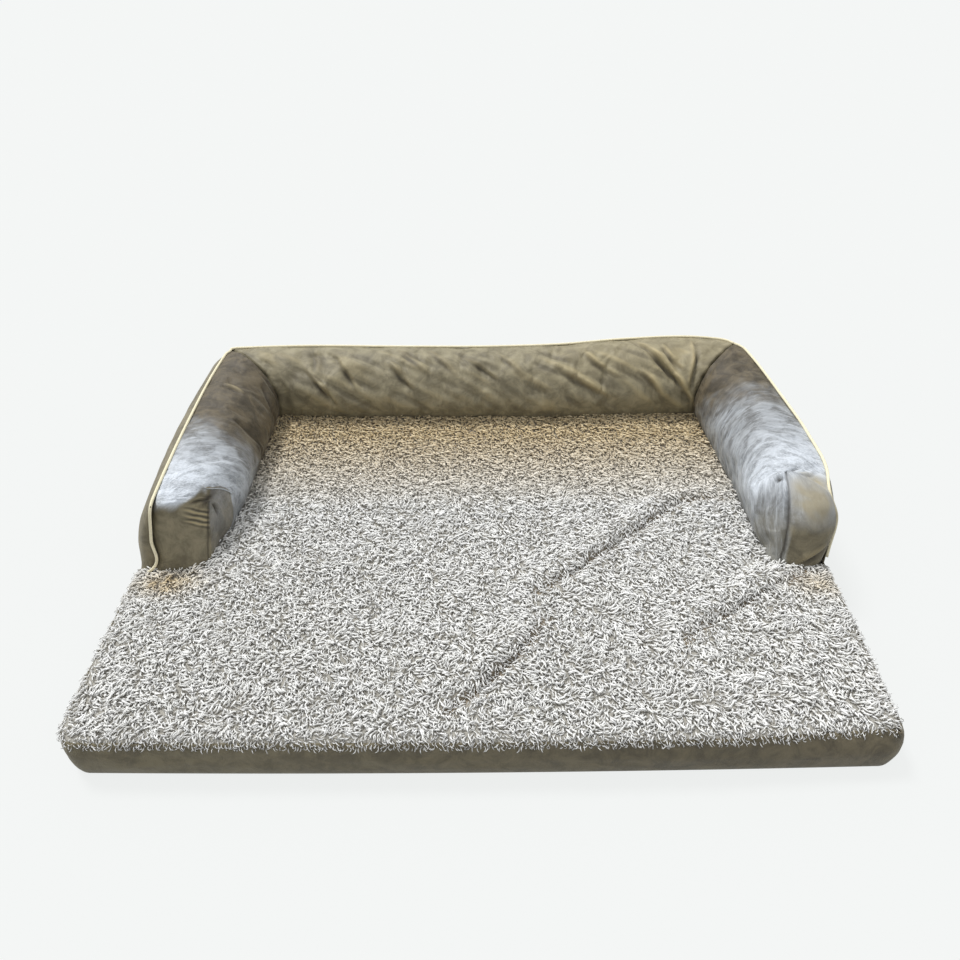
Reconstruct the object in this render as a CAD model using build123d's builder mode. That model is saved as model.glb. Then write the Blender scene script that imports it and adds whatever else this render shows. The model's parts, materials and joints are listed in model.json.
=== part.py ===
from build123d import *
import os
from math import cos, pi, radians, sin, sqrt, tan

# Overall sizes of the bed, in millimetres. X is the width, the front is at -Y, and Z is up from the floor.
bed_width = 1016.0
bed_depth = 762.0
mattress_height = 62.0
seam_height = 176.0
front_bow = 14.0
front_corner = 30.0
back_corner = 60.0

# Cloth: the velvet, the slack between nested layers, and the overrun of every cut
fabric = 1.5
ease = 0.5
overrun = 20.0
edge_tuck = 4.0

# Bolsters: an outer wall, a round skin, and ends that are drawn in
bolster_reach = 105.0
bolster_puff = 50.0
wall_puff = 19.0
seam_inset = 37.0
arm_front_y = -112.0
arm_lean = 12.6
end_draw_in = 62.0
corner_shave = 0.3

# Piping, a cord of eight sides that stands out of the seam between the wall and the skin
piping_radius = 2.25
piping_sides = 8
piping_gap = 0.3
piping_angle = 117.0
piping_drop_bend = 12.0
piping_drop_slack = 0.6

# Sleeping surface: long pile with a crown, rounded over the band, with a few diagonal folds
pile = 14.0
pile_rim = 55.0
pile_margin = 13.0
notch_round = 34.0
fold_width = 26.0
fold_depth = 6.0

# Liner of the foam slab
liner_thickness = 0.6

# Zip: two rows of teeth on tapes behind a slot, low on the back wall
zip_height = 31.0
zip_length = 860.0
zip_inset = 3.0
slot_height = 14.0
tooth_pitch = 6.0
tooth_width = 3.2
tooth_reach = 2.4
tooth_depth = 2.6
tooth_gap = 1.6
bead_height = 1.2
tape_thickness = 0.8
tape_height = 10.0
tape_end = 10.0
stop_length = 4.0
stop_lip = 1.2
stop_clearance = 0.2

# Slider: two plates with lips, joined by a wedge, and a bail for the pull
slider_length = 13.0
slider_mouth = 12.4
slider_tail = 11.2
slider_wall = 1.6
slider_clearance = 0.4
slider_lip = 0.8
slider_corner = 1.5
wedge_thickness = 0.9
wedge_length = 4.0
bail_rise = 2.8
bail_wire = 1.6
bail_span = 9.0

# Pull: a rolled eye round the bail and a flat tab that hangs from it
pull_length = 25.0
pull_width = 9.0
pull_thickness = 1.6
pull_eye = 4.2
pull_clearance = 0.35
pull_neck = 8.0
pull_corner = 2.5
pull_hole = 3.6

half_width = bed_width / 2
slider_plate_out = zip_inset - tooth_depth / 2 - slider_clearance - slider_wall
bail_stand = bail_rise - slider_plate_out
eye_radius = bail_wire / 2 + pull_clearance + pull_thickness / 2
pull_stand = bail_stand + eye_radius
# The origin is under the middle of the whole bed, from the bowed front edge to the pull at the back.
back_y = (bed_depth + front_bow - pull_stand) / 2
front_y = back_y - bed_depth


def bed_outline(height, inset):
    """The bed seen from above at one height: straight sides, a bowed front and four rounded corners."""
    side = half_width - inset
    with BuildSketch(Plane.XY.offset(height)) as outline:
        with BuildLine():
            ThreePointArc((side, front_y + inset), (0, front_y - front_bow + inset), (-side, front_y + inset))
            Polyline((-side, front_y + inset), (-side, back_y - inset), (side, back_y - inset),
                     (side, front_y + inset))
        make_face()
        fillet(outline.vertices().group_by(Axis.Y)[0], radius=max(front_corner - inset, front_corner / 2))
        fillet(outline.vertices().group_by(Axis.Y)[-1], radius=back_corner - inset)
    return outline.sketch


def mirrored(piece):
    """The same piece on the other side of the bed."""
    return mirror(piece, about=Plane.YZ)


# The front end of each arm leans back, and the mitres run at 45 degrees through the back corners.
arm_front = Plane(origin=(0, arm_front_y, mattress_height), x_dir=(1, 0, 0), z_dir=(0, -1, 0)).rotated(
    (-arm_lean, 0, 0))
mitre_left = Plane(origin=(-half_width, back_y, 0), x_dir=(1, -1, 0), z_dir=(1, 1, 0))
mitre_right = Plane(origin=(half_width, back_y, 0), x_dir=(1, 1, 0), z_dir=(-1, 1, 0))

# Non-slip base panel, flat on the floor inside the walls, whose rounded corners are flat steps
base_slack = 1.3
base_inset = edge_tuck + fabric + base_slack
with BuildPart() as base_panel:
    extrude(bed_outline(0, base_inset), amount=fabric)
base_panel.part.label = "base_panel"

# Foam slab in its water-resistant liner
liner_inset = zip_inset + tooth_depth / 2 + slider_clearance + slider_wall + 2 * ease
liner_low = fabric + ease
liner_high = mattress_height - fabric - ease


def slab(skin):
    """A square-cut slab, as far inside the liner's outer face as skin says."""
    with BuildPart() as block:
        extrude(bed_outline(liner_low + skin, liner_inset + skin), amount=liner_high - liner_low - 2 * skin)
    return block.part


with BuildPart() as foam_slab:
    add(slab(liner_thickness + ease))
foam_slab.part.label = "foam_slab"

with BuildPart() as liner:
    add(slab(0))
    add(slab(liner_thickness), mode=Mode.SUBTRACT)
liner.part.label = "liner"

# Front band: velvet round the front edge and both front corners, drawn in at its two seams
# Each turn of the band's section as shares of its height and of the tuck
band_shares = ((0, 1), (0.2, 0.3), (0.5, 0), (0.8, 0.3), (1, 1))
with BuildPart() as front_band:
    loft([bed_outline(mattress_height * rise, edge_tuck * tuck) for rise, tuck in band_shares], ruled=True)
    loft([bed_outline(mattress_height * rise, edge_tuck * tuck + fabric) for rise, tuck in band_shares],
         ruled=True, mode=Mode.SUBTRACT)
    split(bisect_by=arm_front, keep=Keep.TOP)
front_band.part.label = "front_band"

# The wall's section, from the floor through the waist at the mattress to the piping seam. Its first
# coordinate runs inward from the bed's side.
waist = Vector(edge_tuck, mattress_height)
seam = Vector(seam_inset, seam_height)
lower_side = ThreePointArc((edge_tuck, 0), (0, mattress_height / 2), waist)
upper_side = SagittaArc(waist, seam, wall_puff)


def wall_profile(at):
    """The wall's section as a sheet of velvet, on a plane whose X axis runs inward."""
    with BuildSketch(at) as profile:
        with BuildLine():
            add(lower_side)
            add(upper_side)
            offset(amount=fabric, side=Side.RIGHT)
        make_face()
    return profile.sketch


corner_middle = Vector(-half_width + back_corner, back_y - back_corner)
# The planes of the sections round a back corner, as shares of its quarter turn from the side to the back
corner_shares = (0, 0.25, 0.5, 0.75, 1)


def round_corner(share, height):
    """The plane of a section through the left back corner, whose X axis runs inward from the wall."""
    inward = Vector(1, 0).rotate(Axis.Z, -90 * share)
    outer = corner_middle - inward * back_corner
    return Plane(origin=(outer.X, outer.Y, height), x_dir=inward, z_dir=inward.rotate(Axis.Z, -90))


with BuildPart() as wall_left:
    front_end = Plane(origin=(-half_width, arm_front_y - overrun, 0), x_dir=(1, 0, 0), z_dir=(0, -1, 0))
    planes = [front_end, *[round_corner(share, 0) for share in corner_shares[:3]]]
    loft([wall_profile(plane) for plane in planes], ruled=True)
    split(bisect_by=arm_front, keep=Keep.BOTTOM)
wall_left.part.label = "wall_left"

with BuildPart() as wall_right:
    add(mirrored(wall_left.part))
wall_right.part.label = "wall_right"

# Back wall, from mitre to mitre, with the slot that shows the zip
with BuildPart() as wall_back:
    middle = Plane(origin=(0, back_y, 0), x_dir=(0, -1, 0), z_dir=(-1, 0, 0))
    planes = [*[round_corner(share, 0) for share in corner_shares[2:]], middle]
    loft([wall_profile(plane) for plane in planes], ruled=True)
    mirror(about=Plane.YZ)
    with Locations((0, back_y, zip_height)):
        Box(zip_length + 2 * (stop_length + ease), overrun, slot_height, mode=Mode.SUBTRACT)
wall_back.part.label = "wall_back"

# Piping: a cord in the seam, from mitre to mitre and down the front edge of each arm
piping_centre = seam + Vector(piping_radius + piping_gap, 0).rotate(Axis.Z, piping_angle)
piping_bend = back_corner - piping_centre.X
piping_side = -half_width + piping_centre.X
piping_middle = (corner_middle.X, corner_middle.Y, piping_centre.Y)
# The drop's points, as shares of the way up the wall's curve
drop_shares = (0.86, 0.72, 0.58, 0.44, 0.3, 0.17, 0.05)


def at_arm_front(inward, height):
    """A point of the leaning plane at the front of the left arm."""
    leaned = arm_front_y + (height - mattress_height) * tan(radians(arm_lean))
    return (-half_width + inward, leaned, height)


def beside_wall(share):
    """A point of the piping's route down the front edge of the wall, share of the way up its curve."""
    point = upper_side @ share
    along = upper_side % share
    stand = piping_radius + piping_gap + piping_drop_slack
    return at_arm_front(point.X - along.Y * stand, point.Y + along.X * stand)


with BuildPart() as piping_left:
    with BuildLine() as left_seam:
        CenterArc(piping_middle, piping_bend, 135, 45)
        FilletPolyline((piping_side, corner_middle.Y, piping_centre.Y),
                       at_arm_front(piping_centre.X, piping_centre.Y),
                       *[beside_wall(share) for share in drop_shares], radius=piping_drop_bend)
    with BuildSketch(left_seam.line ^ 0):
        RegularPolygon(piping_radius, piping_sides)
    sweep()
piping_left.part.label = "piping_left"

with BuildPart() as piping_right:
    add(mirrored(piping_left.part))
piping_right.part.label = "piping_right"

with BuildPart() as piping_back:
    with BuildLine() as back_seam:
        CenterArc(piping_middle, piping_bend, 135, -45)
        Line((corner_middle.X, back_y - piping_centre.X, piping_centre.Y),
             (-corner_middle.X, back_y - piping_centre.X, piping_centre.Y))
        CenterArc((-corner_middle.X, corner_middle.Y, piping_centre.Y), piping_bend, 90, -45)
    with BuildSketch(back_seam.line ^ 0):
        RegularPolygon(piping_radius, piping_sides)
    sweep()
piping_back.part.label = "piping_back"

# Bolsters. A section has a side along the wall, a flat floor on the mattress and a round skin. Its
# stations run from the drawn-in front end to the mitre, and its puff varies a little along the way.
wall_skin = fabric + ease
side_shares = (0.5, 1)


def along_wall(depth):
    """The side of a bolster along the wall, depth inside the wall's outer face, from floor to seam."""
    points = []
    for share in side_shares:
        point = upper_side @ share
        along = upper_side % share
        points.append((point.X + along.Y * depth, point.Y - along.X * depth - mattress_height))
    return ThreePointArc((waist.X + depth, 0), *points)


def bolster_section(at, reach_share, puff_share, inset):
    """One closed section of a bolster, on a plane whose X axis runs inward from the wall's outer face."""
    side = along_wall(wall_skin)
    foot = (bolster_reach * reach_share, 0)
    with BuildSketch(at) as section:
        with BuildLine():
            add(side)
            SagittaArc(side @ 1, foot, bolster_puff * puff_share)
            Line(foot, side @ 0)
        make_face()
        if inset:
            offset(amount=-inset, kind=Kind.INTERSECTION)
    return section.sketch


def corner_cut(inset):
    """What the rounded back corner takes off a bolster's outer corner."""
    side = along_wall(wall_skin + inset + corner_shave)
    top = (side @ 1).Y + bolster_puff
    sections = []
    for share in corner_shares:
        with BuildSketch(round_corner(share, mattress_height)) as section:
            with BuildLine():
                add(side)
                Polyline(side @ 1, ((side @ 1).X, top), (-back_corner, top), (-back_corner, -overrun),
                         ((side @ 0).X, -overrun), side @ 0)
            make_face()
        sections.append(section.sketch)
    with BuildPart() as cut:
        loft(sections, ruled=True)
    return cut.part


# The rounded end's stations follow a quarter ellipse, and the run's swell follows a half wave. Both stop
# where the mitres begin, and from there the section runs straight on to the wall.
end_stations = 4
run_stations = 2
end_reach_share = 0.62
end_puff_share = 0.5
end_lean_share = 0.6
swell_share = 0.05
mitre_reach = bolster_reach + bolster_puff / 2
arm_run = back_y - mitre_reach - arm_front_y - end_draw_in
back_run = bed_width - 2 * mitre_reach


def arm_stations():
    """Every station of an arm: how far back from the front end, and the shares of lean, reach and puff."""
    for step in range(end_stations):
        along = step / end_stations
        full = sqrt(1 - (1 - along) ** 2)
        yield (end_draw_in * along ** 2, 1 - end_lean_share * along,
               end_reach_share + (1 - end_reach_share) * full,
               end_puff_share + (1 - end_puff_share) * full)
    for step in range(run_stations + 1):
        along = step / run_stations
        lean_share = (1 - end_lean_share) * (1 - along)
        yield end_draw_in + arm_run * along, lean_share, 1, 1 + swell_share * sin(pi * along)


def arm_form(inset):
    """The left arm's whole form, set inside its outer faces by inset, before its back end is cut."""
    sections = []
    for back, lean_share, reach_share, puff_share in arm_stations():
        lean = radians(arm_lean * lean_share)
        at = Plane(origin=(-half_width, arm_front_y + back + inset, mattress_height),
                   x_dir=(1, 0, 0), z_dir=(0, -cos(lean), sin(lean)))
        sections.append(bolster_section(at, reach_share, puff_share, inset))
    with BuildPart() as form:
        loft(sections, ruled=True)
        extrude(sections[-1], amount=-mitre_reach)
    return form.part


def back_form(inset):
    """The back bolster's whole form, set inside its outer faces by inset, before its ends are cut."""
    sections = []
    for step in range(2 * run_stations + 1):
        along = step / (2 * run_stations)
        at = Plane(origin=(back_run * (along - 1 / 2), back_y, mattress_height),
                   x_dir=(0, -1, 0), z_dir=(-1, 0, 0))
        sections.append(bolster_section(at, 1, 1 + swell_share * sin(pi * along), inset))
    with BuildPart() as form:
        loft(sections, ruled=True)
        extrude(sections[0], amount=mitre_reach)
        extrude(sections[-1], amount=-mitre_reach)
    return form.part


def arm_skin(inset):
    """The left arm's form with the bed's rounded corner taken off."""
    with BuildPart() as skin:
        add(arm_form(inset))
        add(corner_cut(inset), mode=Mode.SUBTRACT)
    return skin.part


def back_skin(inset):
    """The back bolster's form with both rounded corners taken off."""
    with BuildPart() as skin:
        add(back_form(inset))
        add(corner_cut(inset), mode=Mode.SUBTRACT)
        add(mirrored(corner_cut(inset)), mode=Mode.SUBTRACT)
    return skin.part


with BuildPart() as bolster_left:
    add(arm_skin(0))
    add(arm_skin(fabric), mode=Mode.SUBTRACT)
    split(bisect_by=mitre_left, keep=Keep.BOTTOM)
bolster_left.part.label = "bolster_left"

with BuildPart() as bolster_right:
    add(mirrored(bolster_left.part))
bolster_right.part.label = "bolster_right"

with BuildPart() as bolster_back:
    add(back_skin(0))
    add(back_skin(fabric), mode=Mode.SUBTRACT)
    split(bisect_by=mitre_left, keep=Keep.TOP)
    split(bisect_by=mitre_right, keep=Keep.TOP)
bolster_back.part.label = "bolster_back"

# Fibre-filled pillows inside the bolsters, cut off square where the corners begin to round
core_inset = fabric + ease
with BuildPart() as core_left:
    add(arm_form(core_inset))
    split(bisect_by=round_corner(0, 0), keep=Keep.TOP)
    split(bisect_by=mitre_left.offset(-ease), keep=Keep.BOTTOM)
core_left.part.label = "core_left"

with BuildPart() as core_right:
    add(mirrored(core_left.part))
core_right.part.label = "core_right"

with BuildPart() as core_back:
    add(back_form(core_inset))
    split(bisect_by=Plane.YZ.offset(corner_middle.X), keep=Keep.TOP)
    split(bisect_by=Plane.YZ.offset(-corner_middle.X), keep=Keep.BOTTOM)
    split(bisect_by=mitre_left.offset(ease), keep=Keep.TOP)
    split(bisect_by=mitre_right.offset(ease), keep=Keep.TOP)
core_back.part.label = "core_back"

# Sleeping surface: a cloth backing inside the band, and the pile over it, which rounds over the band.
# It stops short of the bolsters, and its notches follow the round ends of the arms.
bay_side = half_width - bolster_reach - pile_margin
bay_back = back_y - bolster_reach - pile_margin
# The pile's rim, from its foot to its crown, as shares of its height and of the rim's width
rim_shares = ((0, 0), (0.55, 0.02), (0.86, 0.25), (1, 1))
# Each fold's middle as shares of the bed's width and depth, its turn from the X axis as a share of a half
# turn, and its length as a share of the bed's width
fold_shares = ((0.155, -0.19, 0.24, 0.58), (0.32, -0.315, 0.2, 0.29), (0.13, -0.085, 0.2, 0.2))


def top_outline(height, inset):
    """The sleeping surface seen from above: the whole front, and the bay between the arms."""
    with BuildSketch(Plane.XY.offset(height)) as outline:
        add(bed_outline(0, edge_tuck + inset))
        with BuildSketch(mode=Mode.INTERSECT):
            with Locations((0, arm_front_y - inset)):
                Rectangle(bed_width, bed_depth, align=(Align.CENTER, Align.MAX))
            with Locations((0, bay_back - inset)):
                Rectangle(2 * (bay_side - inset), bed_depth, align=(Align.CENTER, Align.MAX))
        notches = [corner for corner in outline.vertices()
                   if abs(corner.Y - arm_front_y + inset) < ease and abs(corner.X) < bay_side + ease]
        fillet(notches, radius=notch_round + inset)
    return outline.sketch


def fold_valley(length):
    """A long valley between two swells of the pile, as the spindle that cuts it."""
    with BuildPart() as spindle:
        with BuildSketch(Plane.XY):
            with BuildLine():
                Polyline((-length / 2, 0), (0, fold_width / 2), (length / 2, 0), close=True)
            make_face()
        revolve(axis=Axis.X)
    return spindle.part


pile_top = mattress_height + pile
with BuildPart() as sleeping_top:
    loft([top_outline(mattress_height + pile * rise, pile_rim * draw) for rise, draw in rim_shares], ruled=True)
    for across, along, turn, long in fold_shares:
        place = Location((bed_width * across, bed_depth * along, pile_top + fold_width / 2 - fold_depth),
                         (0, 0, 180 * turn))
        add(fold_valley(bed_width * long).moved(place), mode=Mode.SUBTRACT)
    extrude(top_outline(mattress_height, fabric + ease), amount=-fabric)
sleeping_top.part.label = "sleeping_top"

# Zip tapes, behind the slot's edges, with the rows of teeth along them
row_reach = tooth_gap / 2 + tooth_reach + bead_height
tape_length = zip_length + 2 * tape_end


def zip_tape(side):
    """One woven tape, below the zip's line for side -1 and above it for side 1."""
    with BuildPart() as tape:
        with Locations((0, back_y - zip_inset, zip_height + side * (row_reach + tape_height / 2))):
            Box(tape_length, tape_thickness, tape_height)
    return tape.part


def zip_row(side):
    """One row of teeth on its bead, half a pitch along from the row across."""
    teeth = int(zip_length / tooth_pitch)
    with BuildPart() as row:
        with BuildSketch(Plane(origin=(0, back_y - zip_inset + tooth_depth / 2, zip_height),
                               x_dir=(1, 0, 0), z_dir=(0, -1, 0))):
            with Locations((0, side * (row_reach - bead_height / 2))):
                Rectangle(zip_length, bead_height)
            with Locations((side * tooth_pitch / 4, side * (tooth_gap / 2 + tooth_reach / 2))):
                with GridLocations(tooth_pitch, 0, teeth - 1, 1):
                    Rectangle(tooth_width, tooth_reach)
        extrude(amount=tooth_depth)
    return row.part


with BuildPart() as zip_tape_lower:
    add(zip_tape(-1))
zip_tape_lower.part.label = "zip_tape_lower"

with BuildPart() as zip_tape_upper:
    add(zip_tape(1))
zip_tape_upper.part.label = "zip_tape_upper"

with BuildPart() as zip_teeth_lower:
    add(zip_row(-1))
zip_teeth_lower.part.label = "zip_teeth_lower"

with BuildPart() as zip_teeth_upper:
    add(zip_row(1))
zip_teeth_upper.part.label = "zip_teeth_upper"

# Stops: blocks that clamp both tapes at the two ends of the teeth
stop_slot = tape_thickness + 2 * stop_clearance
stop_half = row_reach + stop_lip
with BuildPart() as zip_stop_closed:
    with BuildSketch(Plane(origin=((zip_length + ease) / 2, back_y - zip_inset, zip_height),
                           x_dir=(0, 1, 0), z_dir=(1, 0, 0))):
        Rectangle(tooth_depth, 2 * stop_half)
        with Locations((0, row_reach + stop_lip / 2), (0, -row_reach - stop_lip / 2)):
            Rectangle(stop_slot, stop_lip, mode=Mode.SUBTRACT)
    extrude(amount=stop_length)
zip_stop_closed.part.label = "zip_stop_closed"

with BuildPart() as zip_stop_open:
    add(mirrored(zip_stop_closed.part))
zip_stop_open.part.label = "zip_stop_open"

# Slider, drawn at the closed end of its travel. Its X axis is the travel, and its mouth faces the closed end.
slider_x = (zip_length - slider_length) / 2 - ease
slider_travel = 2 * slider_x
plate_in = tooth_depth / 2 + slider_clearance
plate_out = plate_in + slider_wall
channel = 2 * (row_reach + slider_clearance)
wedge_share = 0.45


def slider_plane(depth):
    """A plane that faces the back, depth outward from the middle of the teeth."""
    return Plane(origin=(slider_x, back_y - zip_inset + depth, zip_height), x_dir=(-1, 0, 0), z_dir=(0, 1, 0))


def slider_outline(at):
    """The slider's outline from behind: a wide mouth and a narrower tail."""
    with BuildSketch(at) as shield:
        with BuildLine():
            Polyline((-slider_length / 2, slider_mouth / 2), (slider_length / 2, slider_tail / 2),
                     (slider_length / 2, -slider_tail / 2), (-slider_length / 2, -slider_mouth / 2), close=True)
        make_face()
        fillet(shield.vertices(), radius=slider_corner)
    return shield.sketch


with BuildPart() as zip_slider:
    for outward in (1, -1):
        extrude(slider_outline(slider_plane(outward * (plate_in - slider_lip))),
                amount=outward * (slider_wall + slider_lip))
    with Locations(slider_plane(0)):
        Box(slider_length + overrun, channel, 2 * plate_in, mode=Mode.SUBTRACT)
    with BuildSketch(slider_plane(-plate_in)):
        with Locations((-slider_length * wedge_share, 0)):
            Rectangle(wedge_length, wedge_thickness, align=(Align.MIN, Align.CENTER))
    extrude(amount=2 * plate_in)
    with BuildLine() as bail:
        Polyline(*[(slider_x + x, back_y - zip_inset + y, zip_height) for x, y in (
            (-bail_span / 2, plate_out - slider_wall / 2), (-bail_span / 2, plate_out + bail_rise),
            (bail_span / 2, plate_out + bail_rise), (bail_span / 2, plate_out - slider_wall / 2))])
    with BuildSketch(bail.line ^ 0):
        Circle(bail_wire / 2)
    sweep(transition=Transition.RIGHT)
zip_slider.part.label = "zip_slider"

# Pull, hanging from the bail: a rolled eye, a neck and a flat tab with a hole
bail_y = back_y - zip_inset + plate_out + bail_rise
with BuildPart() as zip_pull:
    with BuildSketch(Plane(origin=(slider_x, bail_y - pull_thickness / 2, zip_height),
                           x_dir=(-1, 0, 0), z_dir=(0, 1, 0))) as tab:
        with BuildLine():
            Polyline((-pull_eye / 2, 0), (-pull_eye / 2, -pull_neck), (-pull_width / 2, -pull_neck - pull_corner),
                     (-pull_width / 2, -pull_length), (pull_width / 2, -pull_length),
                     (pull_width / 2, -pull_neck - pull_corner), (pull_eye / 2, -pull_neck), (pull_eye / 2, 0),
                     close=True)
        make_face()
        fillet(tab.vertices().group_by(Axis.Y)[0], radius=pull_corner)
        with Locations((0, -pull_length + pull_width / 2)):
            Circle(pull_hole / 2, mode=Mode.SUBTRACT)
    extrude(amount=pull_thickness)
    with BuildSketch(Plane(origin=(slider_x - pull_eye / 2, bail_y, zip_height), z_dir=(1, 0, 0))):
        Circle(eye_radius)
    extrude(amount=pull_eye)
    with BuildSketch(Plane(origin=(slider_x - pull_eye / 2, bail_y, zip_height), z_dir=(1, 0, 0))):
        Circle(eye_radius - pull_thickness / 2)
    extrude(amount=pull_eye, mode=Mode.SUBTRACT)
zip_pull.part.label = "zip_pull"

pieces = (base_panel, foam_slab, liner, front_band, wall_left, wall_back, wall_right, piping_left, piping_back,
          piping_right, bolster_left, bolster_back, bolster_right, core_left, core_back, core_right, sleeping_top,
          zip_tape_lower, zip_tape_upper, zip_teeth_lower, zip_teeth_upper, zip_stop_open, zip_stop_closed,
          zip_slider, zip_pull)
os.makedirs("parts", exist_ok=True)
for piece in pieces:
    export_step(piece.part, "parts/" + piece.part.label + ".step")
print("slider travel", slider_travel, "from", slider_x, "bail at", bail_y, zip_height, "back wall at", back_y)
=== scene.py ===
import json
from contextlib import contextmanager
from math import pi, radians

import bmesh
import bpy
import numpy as np
from mathutils import Matrix, Vector, noise

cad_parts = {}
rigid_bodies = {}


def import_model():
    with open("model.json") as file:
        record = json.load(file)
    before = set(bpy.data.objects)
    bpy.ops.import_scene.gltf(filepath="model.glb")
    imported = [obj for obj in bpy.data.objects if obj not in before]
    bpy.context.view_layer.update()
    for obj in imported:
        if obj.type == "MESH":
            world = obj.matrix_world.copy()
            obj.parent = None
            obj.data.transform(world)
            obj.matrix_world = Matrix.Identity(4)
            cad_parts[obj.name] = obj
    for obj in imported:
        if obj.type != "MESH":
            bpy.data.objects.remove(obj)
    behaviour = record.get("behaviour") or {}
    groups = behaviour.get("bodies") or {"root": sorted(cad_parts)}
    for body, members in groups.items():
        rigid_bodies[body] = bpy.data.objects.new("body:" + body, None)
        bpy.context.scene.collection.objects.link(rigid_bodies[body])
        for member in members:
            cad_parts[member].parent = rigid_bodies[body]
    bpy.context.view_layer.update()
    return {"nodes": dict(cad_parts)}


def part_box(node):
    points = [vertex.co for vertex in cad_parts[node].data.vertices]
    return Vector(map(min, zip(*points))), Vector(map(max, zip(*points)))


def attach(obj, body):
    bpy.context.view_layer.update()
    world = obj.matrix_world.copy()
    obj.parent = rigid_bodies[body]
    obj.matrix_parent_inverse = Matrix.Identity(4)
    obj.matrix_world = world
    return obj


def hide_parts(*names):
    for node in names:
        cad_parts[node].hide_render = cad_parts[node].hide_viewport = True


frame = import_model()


# Base panel: charcoal woven cloth, sewn to the walls all round, that the bed rests on. Rubber grip dots
# are printed on it in staggered rows.
def colour(red, green, blue):
    """A colour as it looks on a screen, from 0 to 255, as a shader's own values."""
    return tuple((value / 255) ** 2.2 for value in (red, green, blue)) + (1.0,)


def join(tree, value, socket):
    """Gives an input its value, or links it to the node's output that feeds it."""
    if isinstance(value, bpy.types.NodeSocket):
        tree.links.new(value, socket)
    else:
        socket.default_value = value


def end_of(sockets, label):
    """The input or output in use under a label."""
    return next(socket for socket in sockets if socket.name == label and socket.enabled)


def add_node(tree, kind, settings=(), **inputs):
    """A node with its settings and its inputs, given or linked, whose names have _ for a space."""
    node = tree.nodes.new(kind)
    for name, value in dict(settings).items():
        setattr(node, name, value)
    for name, value in inputs.items():
        join(tree, value, end_of(node.inputs, name.replace("_", " ")))
    return node


def reckon(tree, operation, *values):
    """A sum of numbers, given or from nodes."""
    node = add_node(tree, "ShaderNodeMath", {"operation": operation})
    for value, socket in zip(values, node.inputs):
        join(tree, value, socket)
    return node.outputs[0]


def new_finish(name, **values):
    """A material whose shader holds the constant values of one finish, whose names have _ for a space."""
    finish = bpy.data.materials.new(name)
    finish.use_nodes = True
    for label, value in values.items():
        finish.node_tree.nodes["Principled BSDF"].inputs[label.replace("_", " ")].default_value = value
    return finish


def place_of(finish, stretch=(1, 1, 1), turn=(0, 0, 0), cloth=False):
    """Where a pattern lies: on Object coordinates, or on the lengths along and around a cloth."""
    tree = finish.node_tree
    if cloth:
        source = add_node(tree, "ShaderNodeUVMap", {"uv_map": "cloth"}).outputs["UV"]
    else:
        source = tree.nodes.new("ShaderNodeTexCoord").outputs["Object"]
    return add_node(tree, "ShaderNodeMapping", Vector=source, Scale=stretch, Rotation=turn).outputs["Vector"]


def noise_at(finish, place, scale, detail=3.0, roughness=0.55, distortion=0.0):
    """Noise from 0 to 1, with scale cells to the metre."""
    return add_node(finish.node_tree, "ShaderNodeTexNoise", Vector=place, Scale=scale, Detail=detail,
                    Roughness=roughness, Distortion=distortion).outputs["Fac"]


def spread(finish, source, low, high, to_low=0.0, to_high=1.0):
    """The source's values from low to high, spread from to_low to to_high."""
    node = add_node(finish.node_tree, "ShaderNodeMapRange", {"interpolation_type": "SMOOTHSTEP"},
                    Value=source, From_Min=low, From_Max=high, To_Min=to_low, To_Max=to_high)
    return node.outputs["Result"]


def attribute_of(finish, name):
    """A value that the mesh carries at each point."""
    return add_node(finish.node_tree, "ShaderNodeAttribute", {"attribute_name": name}).outputs["Fac"]


def mixed(finish, share, first, second, blend="MIX"):
    """Two colours mixed by a share. Each is given as it looks on a screen, or comes from a node."""
    node = add_node(finish.node_tree, "ShaderNodeMix", {"data_type": "RGBA", "blend_type": blend})
    for label, value in (("Factor", share), ("A", first), ("B", second)):
        value = colour(*value) if isinstance(value, tuple) else value
        join(finish.node_tree, value, end_of(node.inputs, label))
    return end_of(node.outputs, "Result")


def graded(finish, source, span, first, second):
    """Two colours mixed as the source's values go over a span."""
    return mixed(finish, spread(finish, source, *span), first, second)


def paint(finish, shade):
    """Gives the finish its colour."""
    finish.node_tree.links.new(shade, finish.node_tree.nodes["Principled BSDF"].inputs["Base Color"])


def emboss(finish, *reliefs):
    """Gives the finish its relief: each is a height from 0 to 1 and its real depth in metres."""
    tree = finish.node_tree
    last = tree.nodes["Principled BSDF"]
    for height, depth in reversed(reliefs):
        bump = add_node(tree, "ShaderNodeBump", Strength=1.0, Distance=depth, Height=height)
        tree.links.new(bump.outputs["Normal"], last.inputs["Normal"])
        last = bump


def woven(finish, place, pitch):
    """A plain weave's relief: two sets of threads, pitch apart, that cross."""
    across, along = (add_node(finish.node_tree, "ShaderNodeTexWave", {"bands_direction": way}, Vector=place,
                              Scale=0.31 / pitch, Distortion=0.4).outputs["Color"] for way in ("X", "Y"))
    return mixed(finish, 0.5, across, along, "LIGHTEN")


def mingled(name, first, second, patches, *reliefs, weave=(), detail=3.0, distortion=0.0, **values):
    """A finish of two mingled shades. Each relief has a scale and a depth, each weave a pitch and a depth."""
    finish = new_finish(name, **values)
    lie = place_of(finish)
    paint(finish, mixed(finish, noise_at(finish, lie, patches, detail), first, second))
    heights = [(woven(finish, lie, pitch), depth) for pitch, depth in weave]
    for scale, depth in reliefs:
        heights.append((noise_at(finish, lie, scale, detail, distortion=distortion), depth))
    emboss(finish, *heights)
    return finish


def show(piece, finish):
    """Dresses a piece in its finish, and sets it on the bed."""
    piece.data.materials.clear()
    piece.data.materials.append(finish)
    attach(piece, "bed")


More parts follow.
